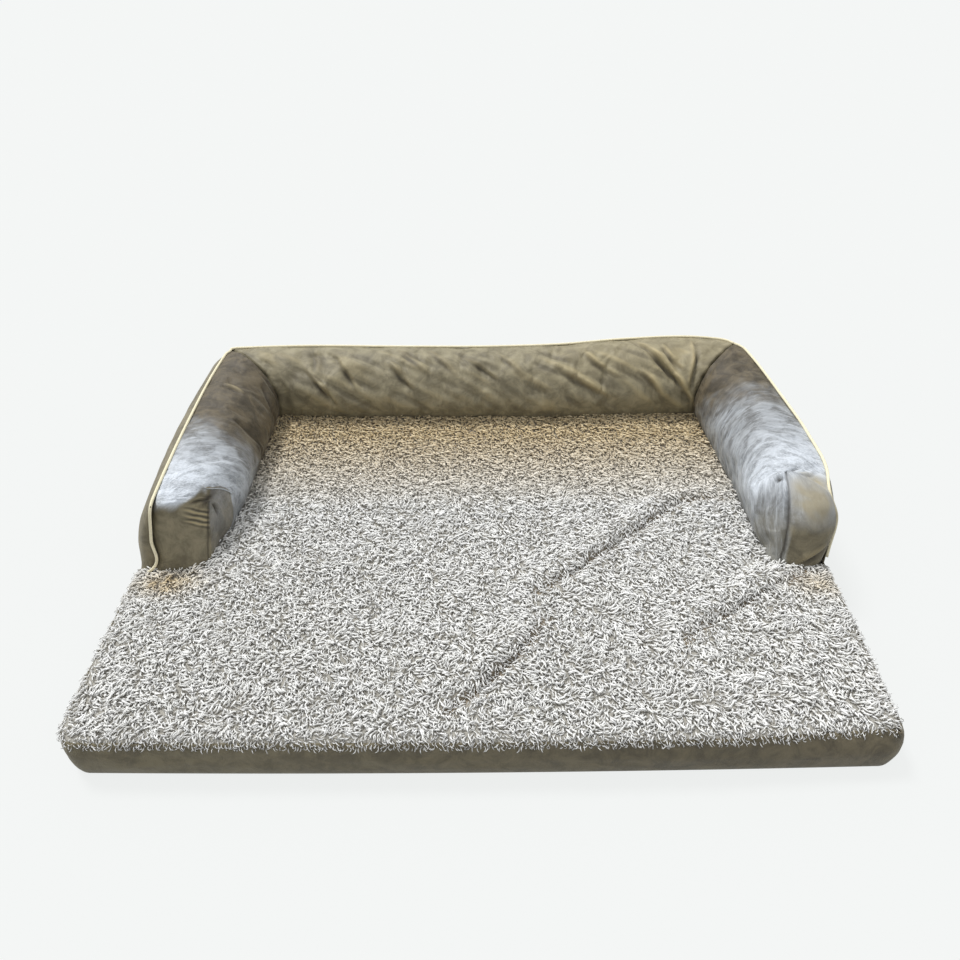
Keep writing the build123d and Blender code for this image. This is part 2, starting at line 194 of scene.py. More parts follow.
def dress(finish, *nodes):
    """Gives CAD nodes that stay their finish."""
    for node in nodes:
        for place in frame["nodes"][node].material_slots:
            place.material = finish


def placed(name, data):
    """An object of the scene that holds a mesh, a lamp or a camera."""
    thing = bpy.data.objects.new(name, data)
    bpy.context.scene.collection.objects.link(thing)
    return thing


def finished_mesh(piece):
    """A new mesh of a piece with its modifiers applied."""
    bpy.context.view_layer.update()
    return bpy.data.meshes.new_from_object(piece.evaluated_get(bpy.context.evaluated_depsgraph_get()))


def node_tree(name, **sizes):
    """An empty tree of geometry nodes with named inputs for its sizes, and its two ends."""
    tree = bpy.data.node_groups.new(name, "GeometryNodeTree")
    for way in ("INPUT", "OUTPUT"):
        tree.interface.new_socket("Geometry", in_out=way, socket_type="NodeSocketGeometry")
    for label, value in sizes.items():
        kind = "NodeSocketInt" if isinstance(value, int) else "NodeSocketFloat"
        socket = tree.interface.new_socket(label.replace("_", " "), in_out="INPUT", socket_type=kind)
        socket.default_value = value
    return tree, tree.nodes.new("NodeGroupInput"), tree.nodes.new("NodeGroupOutput")


def end_tree(tree, copies, finish, result):
    """Makes a tree's copies real, and dresses them."""
    real = add_node(tree, "GeometryNodeRealizeInstances", Geometry=copies)
    dressed = add_node(tree, "GeometryNodeSetMaterial", Geometry=real.outputs["Geometry"], Material=finish)
    tree.links.new(dressed.outputs["Geometry"], result.inputs["Geometry"])


def made_by(tree, base, name, **sizes):
    """What a tree makes of a base object, as a plain mesh under its own name."""
    modifier = base.modifiers.new(tree.name, "NODES")
    modifier.node_group = tree
    for socket in tree.interface.items_tree:
        if socket.in_out == "INPUT" and socket.name in sizes:
            modifier[socket.identifier] = sizes[socket.name]
    mesh = finished_mesh(base)
    base.modifiers.remove(modifier)
    return placed(name, mesh)


def copies_of(kind, name, places, turn, finish, **sizes):
    """Turned copies of one small solid at many places, by a tree whose inputs are the solid's."""
    tree, given, result = node_tree(name.replace("_", " "), **sizes)
    solid = add_node(tree, kind, **{label: given.outputs[label.replace("_", " ")] for label in sizes})
    turned = add_node(tree, "GeometryNodeTransform", Geometry=solid.outputs["Mesh"], Rotation=turn)
    stood = add_node(tree, "GeometryNodeInstanceOnPoints", Points=given.outputs["Geometry"],
                     Instance=turned.outputs["Geometry"])
    end_tree(tree, stood.outputs["Instances"], finish, result)
    mesh = bpy.data.meshes.new(name + "_places")
    mesh.from_pydata(places, [], [])
    base = placed(mesh.name, mesh)
    made = made_by(tree, base, name)
    bpy.data.objects.remove(base)
    return made


grip_cloth = mingled("charcoal grip cloth", (58, 57, 55), (82, 80, 76), 90, weave=((0.0011, 0.0003),),
                     Roughness=0.85)
dress(grip_cloth, "base_panel")
grip_rubber = mingled("black grip rubber", (28, 28, 28), (44, 44, 43), 400, (2500, 0.00008), Roughness=0.55)

dot_pitch = 0.016
dot_margin = 0.03
dot_corner = 0.05
base_low, base_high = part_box("base_panel")
base_middle = (base_low + base_high) / 2
dots = []
for row in range(int((base_high.y - base_low.y) / dot_pitch * 2)):
    for step in range(int((base_high.x - base_low.x) / dot_pitch)):
        x = base_low.x + (step + 0.5 * (row % 2) + 0.5) * dot_pitch
        y = base_low.y + (row + 0.5) * dot_pitch / 2
        past = [max(abs(place - middle) - (high - middle) + dot_margin + dot_corner, 0)
                for place, middle, high in zip((x, y), base_middle, base_high)]
        if past[0] ** 2 + past[1] ** 2 < dot_corner ** 2:
            dots.append((x, y, 0))
grip_dots = copies_of("GeometryNodeMeshCone", "grip_dots", dots, (pi, 0, 0), grip_rubber, Vertices=8,
                      Radius_Top=0.0014, Radius_Bottom=0.0022, Depth=0.0004)
show(grip_dots, grip_rubber)


# Outer walls: one velvet panel along each side and the back, from the floor to the piping. Each is sewn
# through at the height of the mattress, where it has a waist, and swells over the bolster above.
half_width = 0.508
back_y = 0.3855
corner_radius = 0.06
waist_height = 0.062
waist_inset = 0.004
arm_front = -0.112
cloth_thickness = 0.0015
grain = 0.0055
arm_length = 0.47
back_length = 0.93
wall_height = 0.19
corner_ease = 0.12

# Rows of shares of each bolster's run with its seam's inset and height, its foot's inset, its puff, the
# inset of the waist and the wall's puff. The arms run from front to back, the back from left to right.
left_run = (
    (0.0, 0.046, 0.170, 0.109, 0.050, 0.004, 0.013), (0.12, 0.045, 0.174, 0.118, 0.053, 0.004, 0.018),
    (0.5, 0.040, 0.176, 0.124, 0.053, 0.004, 0.025), (0.8, 0.0395, 0.176, 0.126, 0.052, 0.004, 0.023),
    (1.0, 0.0445, 0.176, 0.126, 0.052, 0.004, 0.024))
right_run = (
    (0.0, 0.016, 0.166, 0.088, 0.050, -0.001, 0.018), (0.1, 0.004, 0.173, 0.088, 0.053, 0.0, 0.018),
    (0.3, 0.001, 0.177, 0.090, 0.055, 0.0, 0.018), (0.6, 0.0075, 0.178, 0.094, 0.055, 0.002, 0.018),
    (0.8, 0.0145, 0.179, 0.099, 0.053, 0.003, 0.018), (1.0, 0.026, 0.180, 0.102, 0.052, 0.004, 0.018))
back_run = (
    (0.0, 0.0365, 0.176, 0.106, 0.050, 0.004, 0.018), (0.12, 0.028, 0.175, 0.106, 0.050, 0.004, 0.018),
    (0.35, 0.032, 0.175, 0.107, 0.050, 0.004, 0.018), (0.5, 0.033, 0.175, 0.107, 0.050, 0.004, 0.018),
    (0.65, 0.029, 0.177, 0.108, 0.051, 0.004, 0.018), (0.78, 0.017, 0.181, 0.106, 0.051, 0.004, 0.015),
    (0.93, 0.014, 0.182, 0.104, 0.052, 0.004, 0.014), (1.0, 0.026, 0.180, 0.102, 0.052, 0.004, 0.018))
left_skew = 0.82


def smooth(share):
    """Eases a share from 0 to 1 in and out."""
    share = np.clip(share, 0, 1)
    return share * share * (3 - 2 * share)


def bell(*parts):
    """A share that is 1 where all its parts are 0, and falls off as a bell does."""
    return np.exp(-sum(part ** 2 for part in parts))


def together(*parts):
    """Numbers set side by side, as the places of points."""
    return np.stack(np.broadcast_arrays(*parts), -1)


def read_rows(rows, share):
    """The values of a smooth curve through rows that each hold a share and its values."""
    rows = np.array(rows, float)
    knots, values = rows[:, 0], rows[:, 1:]
    slopes = np.gradient(values, knots, axis=0)
    share = np.clip(np.asarray(share, float), knots[0], knots[-1])
    place = np.clip(np.searchsorted(knots, share, "right") - 1, 0, len(knots) - 2)
    width = (knots[place + 1] - knots[place])[..., None]
    part = (share - knots[place])[..., None] / width
    return (values[place] * (1 + 2 * part) * (1 - part) ** 2 + values[place + 1] * part ** 2 * (3 - 2 * part)
            + width * part * (1 - part) * (slopes[place] * (1 - part) - slopes[place + 1] * part))


def swept_arc(start, end, puff, share):
    """Points of an arc between two places of a section, as far out on its left as its puff."""
    chord = end - start
    length = np.linalg.norm(chord, axis=-1, keepdims=True)
    ahead = chord / length
    aside = np.stack([-ahead[..., 1], ahead[..., 0]], axis=-1)
    half = 2 * np.arctan2(2 * puff[..., None], length)
    radius = length / (2 * np.sin(half))
    angle = half * (2 * share[None, :, None] - 1)
    outward = aside * radius * (np.cos(angle) - np.cos(half))
    return (start + end) / 2 + ahead * radius * np.sin(angle) + outward


def wall_section(run, share, rise):
    """Insets and heights of a wall's section, by shares along its run and shares of the way up."""
    seam_in, seam_up, foot, puff, waist, wall_puff = np.moveaxis(read_rows(run, share), -1, 0)
    low, middle, seam = (together(*end)[:, None] for end in (
        (waist, 0.0), (waist, waist_height), (seam_in, seam_up)))
    lower = rise[rise <= 0.5] * 2
    upper = rise[rise > 0.5] * 2 - 1
    return np.concatenate([swept_arc(low, middle, np.full(seam[..., 0].shape, waist_inset), lower),
                           swept_arc(middle, seam, wall_puff[:, None], upper)], axis=1)


def rounded(points, centre):
    """Bends the square corners of a layout round centre, which stands on its right and on its left."""
    across = np.abs(points[..., 0]) - centre[0]
    end = np.sign(centre[1])
    beyond = (points[..., 1] - centre[1]) * end
    inside = (across > 1e-6) & (beyond > 1e-6)
    reach = np.maximum(across, beyond)
    with np.errstate(divide="ignore", invalid="ignore"):
        turn = np.where(across > beyond, beyond / across, 2 - across / beyond) * pi / 4
    result = points.copy()
    side = np.sign(points[..., 0])
    result[..., 0] = np.where(inside, side * (centre[0] + reach * np.cos(turn)), points[..., 0])
    result[..., 1] = np.where(inside, centre[1] + end * reach * np.sin(turn), points[..., 1])
    return result


back_corners = (half_width - corner_radius, back_y - corner_radius)


def lay_arm(side, section, share, front):
    """Sets an arm's sections along its side, from its front line to its mitre."""
    mitre = section[-1, :, 0] * (left_skew if side < 0 else 1)
    y = front + share[:, None] * (back_y - mitre - front)
    return together(side * (half_width - section[..., 0]), y, section[..., 1])


def lay_back(section, share, left_end, right_end):
    """Sets the back's sections between the last sections of the two arms, and eases into them."""
    fitted = section.copy()
    for end, near in ((left_end * (left_skew, 1), share), (right_end, 1 - share)):
        anchor = section[0] if near is share else section[-1]
        fitted += smooth(1 - near / corner_ease)[:, None, None] * (end - anchor)
    left_x = left_end[:, 0] - half_width
    right_x = half_width - right_end[:, 0]
    x = left_x + share[:, None] * (right_x - left_x)
    return together(x, back_y - fitted[..., 0], fitted[..., 1])


def grid_piece(name, points, flat, closed=False, flip=False):
    """A piece of cloth as a grid of faces, with its lengths along and around as the map called cloth."""
    rows, columns = points.shape[:2]
    way = -1 if flip else 1
    turns = [((row, column), (row, column + 1), (row + 1, column + 1), (row + 1, column))[::way]
             for row in range(rows - 1) for column in range(columns if closed else columns - 1)]
    mesh = bpy.data.meshes.new(name)
    mesh.from_pydata(points.reshape(-1, 3).tolist(), [],
                     [[row * columns + column % columns for row, column in turn] for turn in turns])
    corners = [(flat[0][row], flat[1][column]) for turn in turns for row, column in turn]
    mesh.uv_layers.new(name="cloth").data.foreach_set("uv", np.array(corners, np.float32).ravel())
    mesh.shade_smooth()
    return placed(name, mesh)


@contextmanager
def opened(mesh):
    """A mesh open for changes, which are written back to it."""
    body = bmesh.new()
    body.from_mesh(mesh)
    body.verts.ensure_lookup_table()
    body.faces.ensure_lookup_table()
    yield body
    body.to_mesh(mesh)
    body.free()


def points_of(mesh):
    """The places and the normals of a mesh's points."""
    values = np.empty((2, len(mesh.vertices), 3))
    for name, row in zip(("co", "normal"), values):
        mesh.vertices.foreach_get(name, row.reshape(-1))
    return values


def set_points(piece, places):
    """Moves a piece's points."""
    piece.data.vertices.foreach_set("co", np.asarray(places, float).ravel())
    piece.data.update()


def value_of(piece, name):
    """A value that a piece's points carry."""
    numbers = np.empty(len(piece.data.vertices), np.float32)
    piece.data.attributes[name].data.foreach_get("value", numbers)
    return numbers


def carry(piece, **values):
    """Gives a piece's points values that its finish reads."""
    for name, numbers in values.items():
        row = np.full(len(piece.data.vertices), numbers, np.float32)
        piece.data.attributes.new(name, "FLOAT", "POINT").data.foreach_set("value", row)


def thicken(piece, name, thickness):
    """Gives a sheet its thickness, inwards."""
    solid = piece.modifiers.new(name, "SOLIDIFY")
    solid.thickness = thickness
    solid.offset = -1


def noise_field(places, size, seed=0.0):
    """Smooth noise from -1 to 1 at each place, whose swells are about as long as size along each axis."""
    size = np.broadcast_to(size, (3,))
    return np.array([noise.noise(Vector(row)) for row in places / size + seed])


def distance_to(places, route):
    """How far each place is from a route of straight runs, and its share of the way along it."""
    route = np.array(route, float)
    lengths = np.linalg.norm(np.diff(route, axis=0), axis=1)
    gone = np.concatenate([[0], np.cumsum(lengths)])
    nearest = np.full(len(places), np.inf)
    share = np.zeros(len(places))
    for start, end, length, before in zip(route[:-1], route[1:], lengths, gone):
        part = np.clip((places - start) @ (end - start) / length ** 2, 0, 1)
        gap = np.linalg.norm(places - start - part[:, None] * (end - start), axis=1)
        share = np.where(gap < nearest, (before + part * length) / gone[-1], share)
        nearest = np.minimum(nearest, gap)
    return nearest, share


def on_cloth(places, route):
    """The points of a route, each moved to the nearest place of a cloth."""
    return [places[np.argmin(np.linalg.norm(places - np.array(point), axis=1))] for point in route]


def crease(places, route, depth, width, ridge=0.0, toward=(0, 0, 1), open_end=False):
    """A crease along a route: each place's move along its normal, its valley's painted shade, its crest's
    painted highlight.
    """
    gap, share = distance_to(places, route)
    fade = np.ones_like(share) if open_end else np.sin(pi * share) ** 0.7
    lifted, _ = distance_to(places, np.array(route) + 1.7 * width * np.array(toward, float))
    width = width * (0.55 + 0.45 * fade)
    valley = fade * bell(gap / width)
    crest = fade * bell(lifted / width)
    move = ridge * crest - depth * valley
    return move, valley ** 1.5 * min(1, depth / 0.004), crest * min(1, ridge / 0.005)


velvet = new_finish("brushed velvet", Roughness=0.6, Sheen_Weight=0.22, Sheen_Roughness=0.4,
                    Sheen_Tint=colour(226, 221, 204))
lie = place_of(velvet)
lie_cloth = place_of(velvet, stretch=(1, 0.16, 1), cloth=True)
strokes = place_of(velvet, stretch=(1, 0.3, 1), turn=(0, 0, 0.5), cloth=True)
nap, bright, brown, valley, crest, gather, tuck = (
    attribute_of(velvet, name) for name in ("nap", "bright", "brown", "valley", "crest", "gather", "tuck"))
mottle = noise_at(velvet, lie, 34, detail=6, roughness=0.7, distortion=0.6)
cloud = noise_at(velvet, place_of(velvet, stretch=(1, 0.55, 1), cloth=True), 55, detail=8, roughness=0.72,
                 distortion=0.5)
streak = noise_at(velvet, lie_cloth, 170, detail=6, roughness=0.7, distortion=0.5)
fleck = noise_at(velvet, strokes, 620, detail=4, roughness=0.7)
olive_shade = graded(velvet, mottle, (0.32, 0.68), (112, 105, 84), (150, 142, 116))
brown_shade = graded(velvet, mottle, (0.35, 0.65), (58, 51, 38), (95, 85, 66))
# Browner velvet by the brown share, which also serves as painted shade on the walls, the band and the arms'
# ends.
dull = mixed(velvet, brown, olive_shade, brown_shade)
dull = graded(velvet, fleck, (0.55, 0.75, 0, 0.2), dull, (154, 146, 124))
# Painted sheen: the silver-grey reflection of the daylight on the velvet's nap, in cloudy patches with
# lighter streaks.
painted_sheen_tone = graded(velvet, cloud, (0.36, 0.62), (100, 101, 101), (150, 154, 158))
painted_sheen_tone = graded(velvet, streak, (0.5, 0.66, 0, 0.55), painted_sheen_tone, (190, 196, 203))
# Painted highlight: a brighter, bluish-white sheen with glinting flecks, which takes over from the painted
# sheen where its share is set.
gleam = graded(velvet, cloud, (0.36, 0.60), (140, 146, 153), (204, 211, 220))
gleam = graded(velvet, fleck, (0.46, 0.64, 0, 0.65), gleam, (240, 246, 252))
painted_sheen_tone = mixed(velvet, bright, painted_sheen_tone, gleam)
# The painted sheen is laid over the dull velvet by its share.
cloth_shade = mixed(velvet, nap, dull, painted_sheen_tone)
# Painted highlight on crests and ridges: warm where the velvet is dull, pale where it has its painted sheen.
lit_shade = mixed(velvet, nap, (186, 170, 128), (222, 228, 236))
cloth_shade = mixed(velvet, crest, cloth_shade, lit_shade)
# Painted shade: the colour of crease valleys and of the shaded stripes.
shadow_shade = (50, 44, 33)
# Painted gathers: alternating stripes of painted highlight and painted shade where the cloth of the left
# arm's end is gathered.
painted_tuck_wave = reckon(velvet.node_tree, "SINE", tuck)
for low, high, shade, strength in ((0.0, 0.9, lit_shade, 0.55), (-0.1, -0.9, shadow_shade, 0.75)):
    share = reckon(velvet.node_tree, "MULTIPLY", gather, spread(velvet, painted_tuck_wave, low, high, 0, strength))
    cloth_shade = mixed(velvet, share, cloth_shade, shade)
# Painted shade darkens the velvet in the valleys of creases, seam grooves and wrinkles.
paint(velvet, mixed(velvet, valley, cloth_shade, shadow_shade))
emboss(velvet, (streak, 0.0008), (fleck, 0.0004), (noise_at(velvet, lie, 2600, detail=1), 0.00012))


def cloth_share(length):
    """Even shares for a grid of cloth over a length, about one grain apart."""
    return np.linspace(0, 1, max(2, int(round(length / grain)) + 1))


wall_rise = np.concatenate([np.array([0, 4, 9, 14, 19, 24, 31, 38, 43, 48, 53, 58, 62]) / 124,
                            0.5 + np.linspace(0, 0.5, 25)[1:]])
arm_share = cloth_share(arm_length)
back_share = cloth_share(back_length)
lengths_along = {"left": arm_share * arm_length, "right": arm_share * arm_length,
                 "back": back_share * back_length}
left_wall_section = wall_section(left_run, arm_share, wall_rise)
right_wall_section = wall_section(right_run, arm_share, wall_rise)

# The front edge of each arm's outer wall: rows of a height with the edge's inset and its Y.
left_edge = ((0.0, 0.0035, -0.126), (0.054, 0.0035, -0.114), (0.072, 0.030, -0.110), (0.12, 0.038, -0.099),
             (0.170, 0.046, -0.088))
right_edge = ((0.0, 0.0035, -0.112), (0.054, 0.003, -0.100), (0.072, -0.004, -0.084), (0.12, -0.010, -0.064),
              (0.166, 0.014, -0.066))
edge_round = 0.034


def turned_in(section, edge):
    """An arm's sections with their front drawn to the edge round a soft corner, and the Y of that edge."""
    inset, front = np.moveaxis(read_rows(edge, section[0, :, 1]), -1, 0)
    near = np.clip(1 - lengths_along["left"] / edge_round, 0, 1)[:, None]
    turned = section.copy()
    turned[..., 0] += (1 - np.sqrt(1 - near ** 2)) * (inset - section[0, :, 0])
    return turned, front


wall_points = {}
for name, side, section, edge in (("left", -1, left_wall_section, left_edge),
                                  ("right", 1, right_wall_section, right_edge)):
    turned, front = turned_in(section, edge)
    wall_points[name] = lay_arm(side, turned, arm_share, front)
wall_points["back"] = lay_back(wall_section(back_run, back_share, wall_rise), back_share,
                               left_wall_section[-1], right_wall_section[-1])

# The slot over the zip
slot_low, slot_high = 0.0235, 0.0385
slot_end = 0.4345
slot_middle = 0.031
slot_margin = 0.018

for name, points in wall_points.items():
    wall = grid_piece("wall_%s_velvet" % name, rounded(points, back_corners),
                      (lengths_along[name], wall_rise * wall_height), flip=name == "right")
    places, normals = points_of(wall.data)
    swell = 0.0016 * noise_field(places, (0.07, 0.09, 0.04))
    swell += 0.0007 * noise_field(places, (0.02, 0.03, 0.05), 7)
    pucker = bell((places[:, 2] - waist_height - 0.008) / 0.01)
    swell += 0.0009 * pucker * noise_field(places, (0.012, 0.012, 0.1), 3)
    swell *= smooth(places[:, 2] / 0.02) * smooth(np.abs(places[:, 2] - waist_height) / 0.006)
    if name == "back":
        swell *= np.abs(places[:, 2] - slot_middle) >= slot_margin
    set_points(wall, places + normals * swell[:, None])
    # Painted shade: the walls are made browner and darker than the bolsters of the same velvet.
    carry(wall, brown=0.45)
    if name == "back":
        over_zip = [polygon.index for polygon in wall.data.polygons
                    if slot_low < polygon.center.z < slot_high and abs(polygon.center.x) < slot_end]
        with opened(wall.data) as body:
            bmesh.ops.delete(body, geom=[body.faces[index] for index in over_zip], context="FACES")
    thicken(wall, "cloth thickness", cloth_thickness)
    show(wall, velvet)
    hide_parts("wall_" + name)


# Front band: one strip of the same velvet round the open front of the mattress, between the two arms. It is
# sewn to the base panel below and to the pile above, which draws it in, most of all at the right corner.
front_y = -0.3865
front_bow = 0.004
front_radius = 0.028
front_corners = (half_width - front_radius, front_y + front_radius)
top_inset = 0.005
corner_inset = 0.009
corner_spread = 0.16
notch_y = -0.104
floor_inset = 0.0035
side_run, front_run = 0.27, 1.0
band_cut = (1.54, 0.064)


def front_line(x):
    """The Y of the bowed front edge."""
    return front_y - front_bow * np.clip(1 - (x / (half_width - front_radius)) ** 2, 0, 1)


def rim_inset(x, y):
    """How far inside the bed's outline the seam between the band and the pile lies."""
    away = np.hypot(x - half_width, y - front_y)
    return top_inset + corner_inset * bell(away / corner_spread)


band_rise = np.linspace(0, 1, 15)
side_share = cloth_share(side_run)[:, None]
front_share = cloth_share(front_run)[:, None]
height = waist_height * band_rise


def band_side(side, edge):
    """The band along one side of the mattress, from the arm's front edge forwards."""
    start = read_rows(edge, height)[:, 1]
    return together(side * half_width, start + side_share * (front_y - start), height)


left_side = band_side(-1, left_edge)
right_side = band_side(1, right_edge)[::-1]
front_x = (2 * front_share - 1) * half_width
front_side = together(front_x, front_line(front_x), height)
points = np.concatenate([left_side, front_side[1:-1], right_side])
drawn = rim_inset(points[..., 0], points[..., 1])
inset = floor_inset * (1 - np.sin(pi * np.clip(band_rise / 0.8, 0, 1))) * (band_rise < 0.4)
inset = inset + drawn * np.clip((band_rise - 0.4) / 0.6, 0, 1) ** 2.4
sides = np.sign(points[..., 0]) * (np.abs(points[..., 0]) > half_width - 1e-6)
points[..., 0] -= sides * inset
across_front = slice(len(left_side) - 1, len(points) - len(right_side) + 1)
points[across_front, :, 1] += inset[across_front]
points[across_front, :, 0] *= (1 - inset[across_front] / half_width)
band_length = np.linspace(0, band_cut[0], len(points))
front_band = grid_piece("front_band_velvet", rounded(points, front_corners), (band_length, height))
places, normals = points_of(front_band.data)
rise = np.clip(places[:, 2] / waist_height, 0, 1)
belly = np.sin(pi * rise)
swell = 0.002 * belly * noise_field(places, (0.09, 0.09, 0.05), 2)
swell += 0.0012 * belly * noise_field(places, (0.07, 0.07, 0.012), 5)
swell += 0.0008 * smooth(rise * 4) * noise_field(places, (0.012, 0.012, 0.06), 8)
set_points(front_band, places + normals * swell[:, None])
# Painted shade: the band is browner than the bolsters, and darker towards the right, away from the daylight.
carry(front_band, brown=0.5 + 0.2 * places[:, 0] / half_width)
thicken(front_band, "cloth thickness", cloth_thickness)
show(front_band, velvet)
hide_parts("front_band")


# Foam block in its liner: soft open-cell foam with rounded edges, and a thin water-resistant film that is
# sealed round it. Both are hidden in the cover.
def closed_tube(name, points, flat, sewn=False, **values):
    """A closed form from its rings, whose last ring is shut too unless it is sewn together."""
    piece = grid_piece(name, points, flat, closed=True)
    carry(piece, **values)
    columns = points.shape[1]
    last = (points.shape[0] - 1) * columns
    with opened(piece.data) as body:
        first = [body.verts[index] for index in range(columns)]
        closing = [first] if sewn else [first, [body.verts[last + index] for index in range(columns)]]
        for ring in closing:
            middle = body.verts.new(sum((vert.co for vert in ring), Vector()) / columns)
            for here, following in zip(ring, ring[1:] + ring[:1]):
                body.faces.new((here, following, middle))
        bmesh.ops.remove_doubles(body, verts=body.verts, dist=0.0004)
        bmesh.ops.dissolve_degenerate(body, edges=body.edges, dist=0.00005)
        bmesh.ops.recalc_face_normals(body, faces=body.faces)
        for face in body.faces:
            face.smooth = True
    return piece


block_girth = 3.4
ring_pitch = 0.005


def slab(name, inset, low, high, edge):
    """A rounded block, inset from the bed's outline, from a low to a high level."""
    turn = np.linspace(0, pi / 2, 6)
    under = together(inset + edge / 3 * (1 - np.sin(turn)), low + edge / 3 * (1 - np.cos(turn)))
    over = together(inset + edge * (1 - np.cos(turn)), high - edge * (1 - np.sin(turn)))
    rings = []
    for depth, level in (*under, *over):
        wide = half_width - depth
        near, far = front_y + depth, back_y - depth
        x = np.linspace(-wide, wide, 60)
        y = np.linspace(near, far, 46)[1:-1]
        loop = [(px, near) for px in x] + [(wide, py) for py in y]
        loop += [(px, far) for px in x[::-1]] + [(-wide, py) for py in y[::-1]]
        ring = np.array([(px, py, level) for px, py in loop])
        rings.append(rounded(rounded(ring, back_corners), front_corners))
    rings = np.array(rings)
    flat = (np.arange(len(rings)) * ring_pitch, np.linspace(0, block_girth, rings.shape[1] + 1))
    return closed_tube(name, rings, flat)


foam_stuff = mingled("cut foam", (206, 196, 160), (228, 220, 190), 600, (1400, 0.0006), Roughness=0.9)
foam_block = slab("foam_block", inset=0.0095, low=0.003, high=0.0585, edge=0.016)
show(foam_block, foam_stuff)
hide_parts("foam_slab")

liner_film = mingled("crinkled liner film", (205, 208, 210), (224, 226, 228), 25, (60, 0.002), distortion=1.5,
                     Roughness=0.35)
liner_bag = slab("liner_bag", inset=0.0078, low=0.002, high=0.0602, edge=0.018)
thicken(liner_bag, "film thickness", 0.0005)
show(liner_bag, liner_film)
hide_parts("liner")


# Zip: woven tapes with moulded teeth behind the slot in the back wall, end stops, and a cast slider with
# a stamped pull. The slot's two edges are hemmed with a row of stitches each.
tape_weave = mingled("woven zip tape", (58, 54, 47), (78, 73, 64), 300, weave=((0.0007, 0.0002),),
                     Roughness=0.8)
dress(tape_weave, "zip_tape_lower", "zip_tape_upper")
tooth_resin = mingled("moulded tooth resin", (44, 41, 37), (60, 56, 50), 500, (2000, 0.00005),
                      Roughness=0.35)
dress(tooth_resin, "zip_teeth_lower", "zip_teeth_upper")
cast_zinc = mingled("cast zinc", (150, 148, 144), (186, 184, 180), 350, (900, 0.00006), Roughness=0.32,
                    Metallic=1.0)
dress(cast_zinc, "zip_stop_open", "zip_stop_closed", "zip_slider", "zip_pull")

thread = mingled("hem thread", (112, 106, 92), (136, 130, 114), 900, (3000, 0.0001), Roughness=0.6)
stitch_pitch = 0.0038
hem_width = 0.0028
places = [(x, back_y - waist_inset * ((height - slot_middle) / slot_middle) ** 2, height)
          for height in (slot_low - hem_width, slot_high + hem_width)
          for x in np.arange(-slot_end - hem_width, slot_end + hem_width, stitch_pitch)]
hem_stitches = copies_of("GeometryNodeMeshCylinder", "hem_stitches", places, (0, pi / 2, 0), thread,
                         Vertices=6, Radius=0.00035, Depth=0.0026)
show(hem_stitches, thread)


# Bolster covers: three padded velvet tubes, mitred in the back corners and sewn to the walls under the
# piping. Each arm's front end is drawn together along an upright seam.
foot_height = 0.065
side_gap = 0.0022
end_length = 0.07
last_frame = 20
skin_share = np.linspace(0, 1, 45)
floor_share = np.linspace(0, 1, 10)[1:-1]
side_rise = np.linspace(0, 1, 20)
skin_count, floor_count, side_count = len(skin_share), len(floor_share), len(side_rise) - 1


def bolster_section(run, share):
    """Insets and heights round a bolster: over its skin, back under it, and up beside the wall."""
    seam_in, seam_up, foot, puff, waist, wall_puff = np.moveaxis(read_rows(run, share), -1, 0)
    seam, toe, heel = (together(*end)[:, None] for end in (
        (seam_in, seam_up), (foot, foot_height), (waist + 0.004, waist_height + 0.001)))
    skin = swept_arc(seam, toe, puff[:, None], skin_share)
    under = toe + (heel - toe) * floor_share[None, :, None]
    side = swept_arc(heel, seam, wall_puff[:, None], side_rise[:-1])
    side[..., 0] += side_gap * np.sin(np.linspace(0.3, 1, side_count) * pi / 2)
    return np.concatenate([skin, under, side], axis=1)


skin_length, floor_length, side_length = 0.215, 0.1, 0.12
whole_length = 0.44
around_length = np.concatenate([skin_share * skin_length, skin_length + floor_share * floor_length,
                                skin_length + floor_length + side_rise * side_length])
left_section = bolster_section(left_run, arm_share)
right_section = bolster_section(right_run, arm_share)
back_section = bolster_section(back_run, back_share)

# The front line of each arm's skin: rows of a share round the skin with its Y. Then the upright seam of
# its end: rows of a height with the seam's X and Y.
left_lip = ((0.0, -0.091), (0.1, -0.078), (0.22, -0.060), (0.33, -0.046), (0.4, -0.036), (0.48, -0.024),
            (0.57, -0.015), (0.64, -0.010), (0.72, -0.008), (0.8, -0.010), (0.88, -0.026), (1.0, -0.082))
right_lip = ((0.0, -0.066), (0.15, -0.040), (0.3, -0.014), (0.45, 0.0), (0.6, -0.010), (0.75, -0.040),
             (0.88, -0.078), (1.0, -0.105))
left_seam = ((0.065, -0.4, -0.103), (0.1, -0.399, -0.080), (0.143, -0.397, -0.049))
right_seam = ((0.065, 0.434, -0.110), (0.095, 0.436, -0.099), (0.14, 0.438, -0.075), (0.166, 0.440, -0.047),
              (0.176, 0.441, -0.024))
end_rings = np.linspace(0, 1, 19)[1:]


def seam_line(seam, count):
    """Points along an end's upright seam."""
    heights = np.linspace(seam[0][0], seam[-1][0], count)
    return np.column_stack([read_rows(seam, heights), heights])


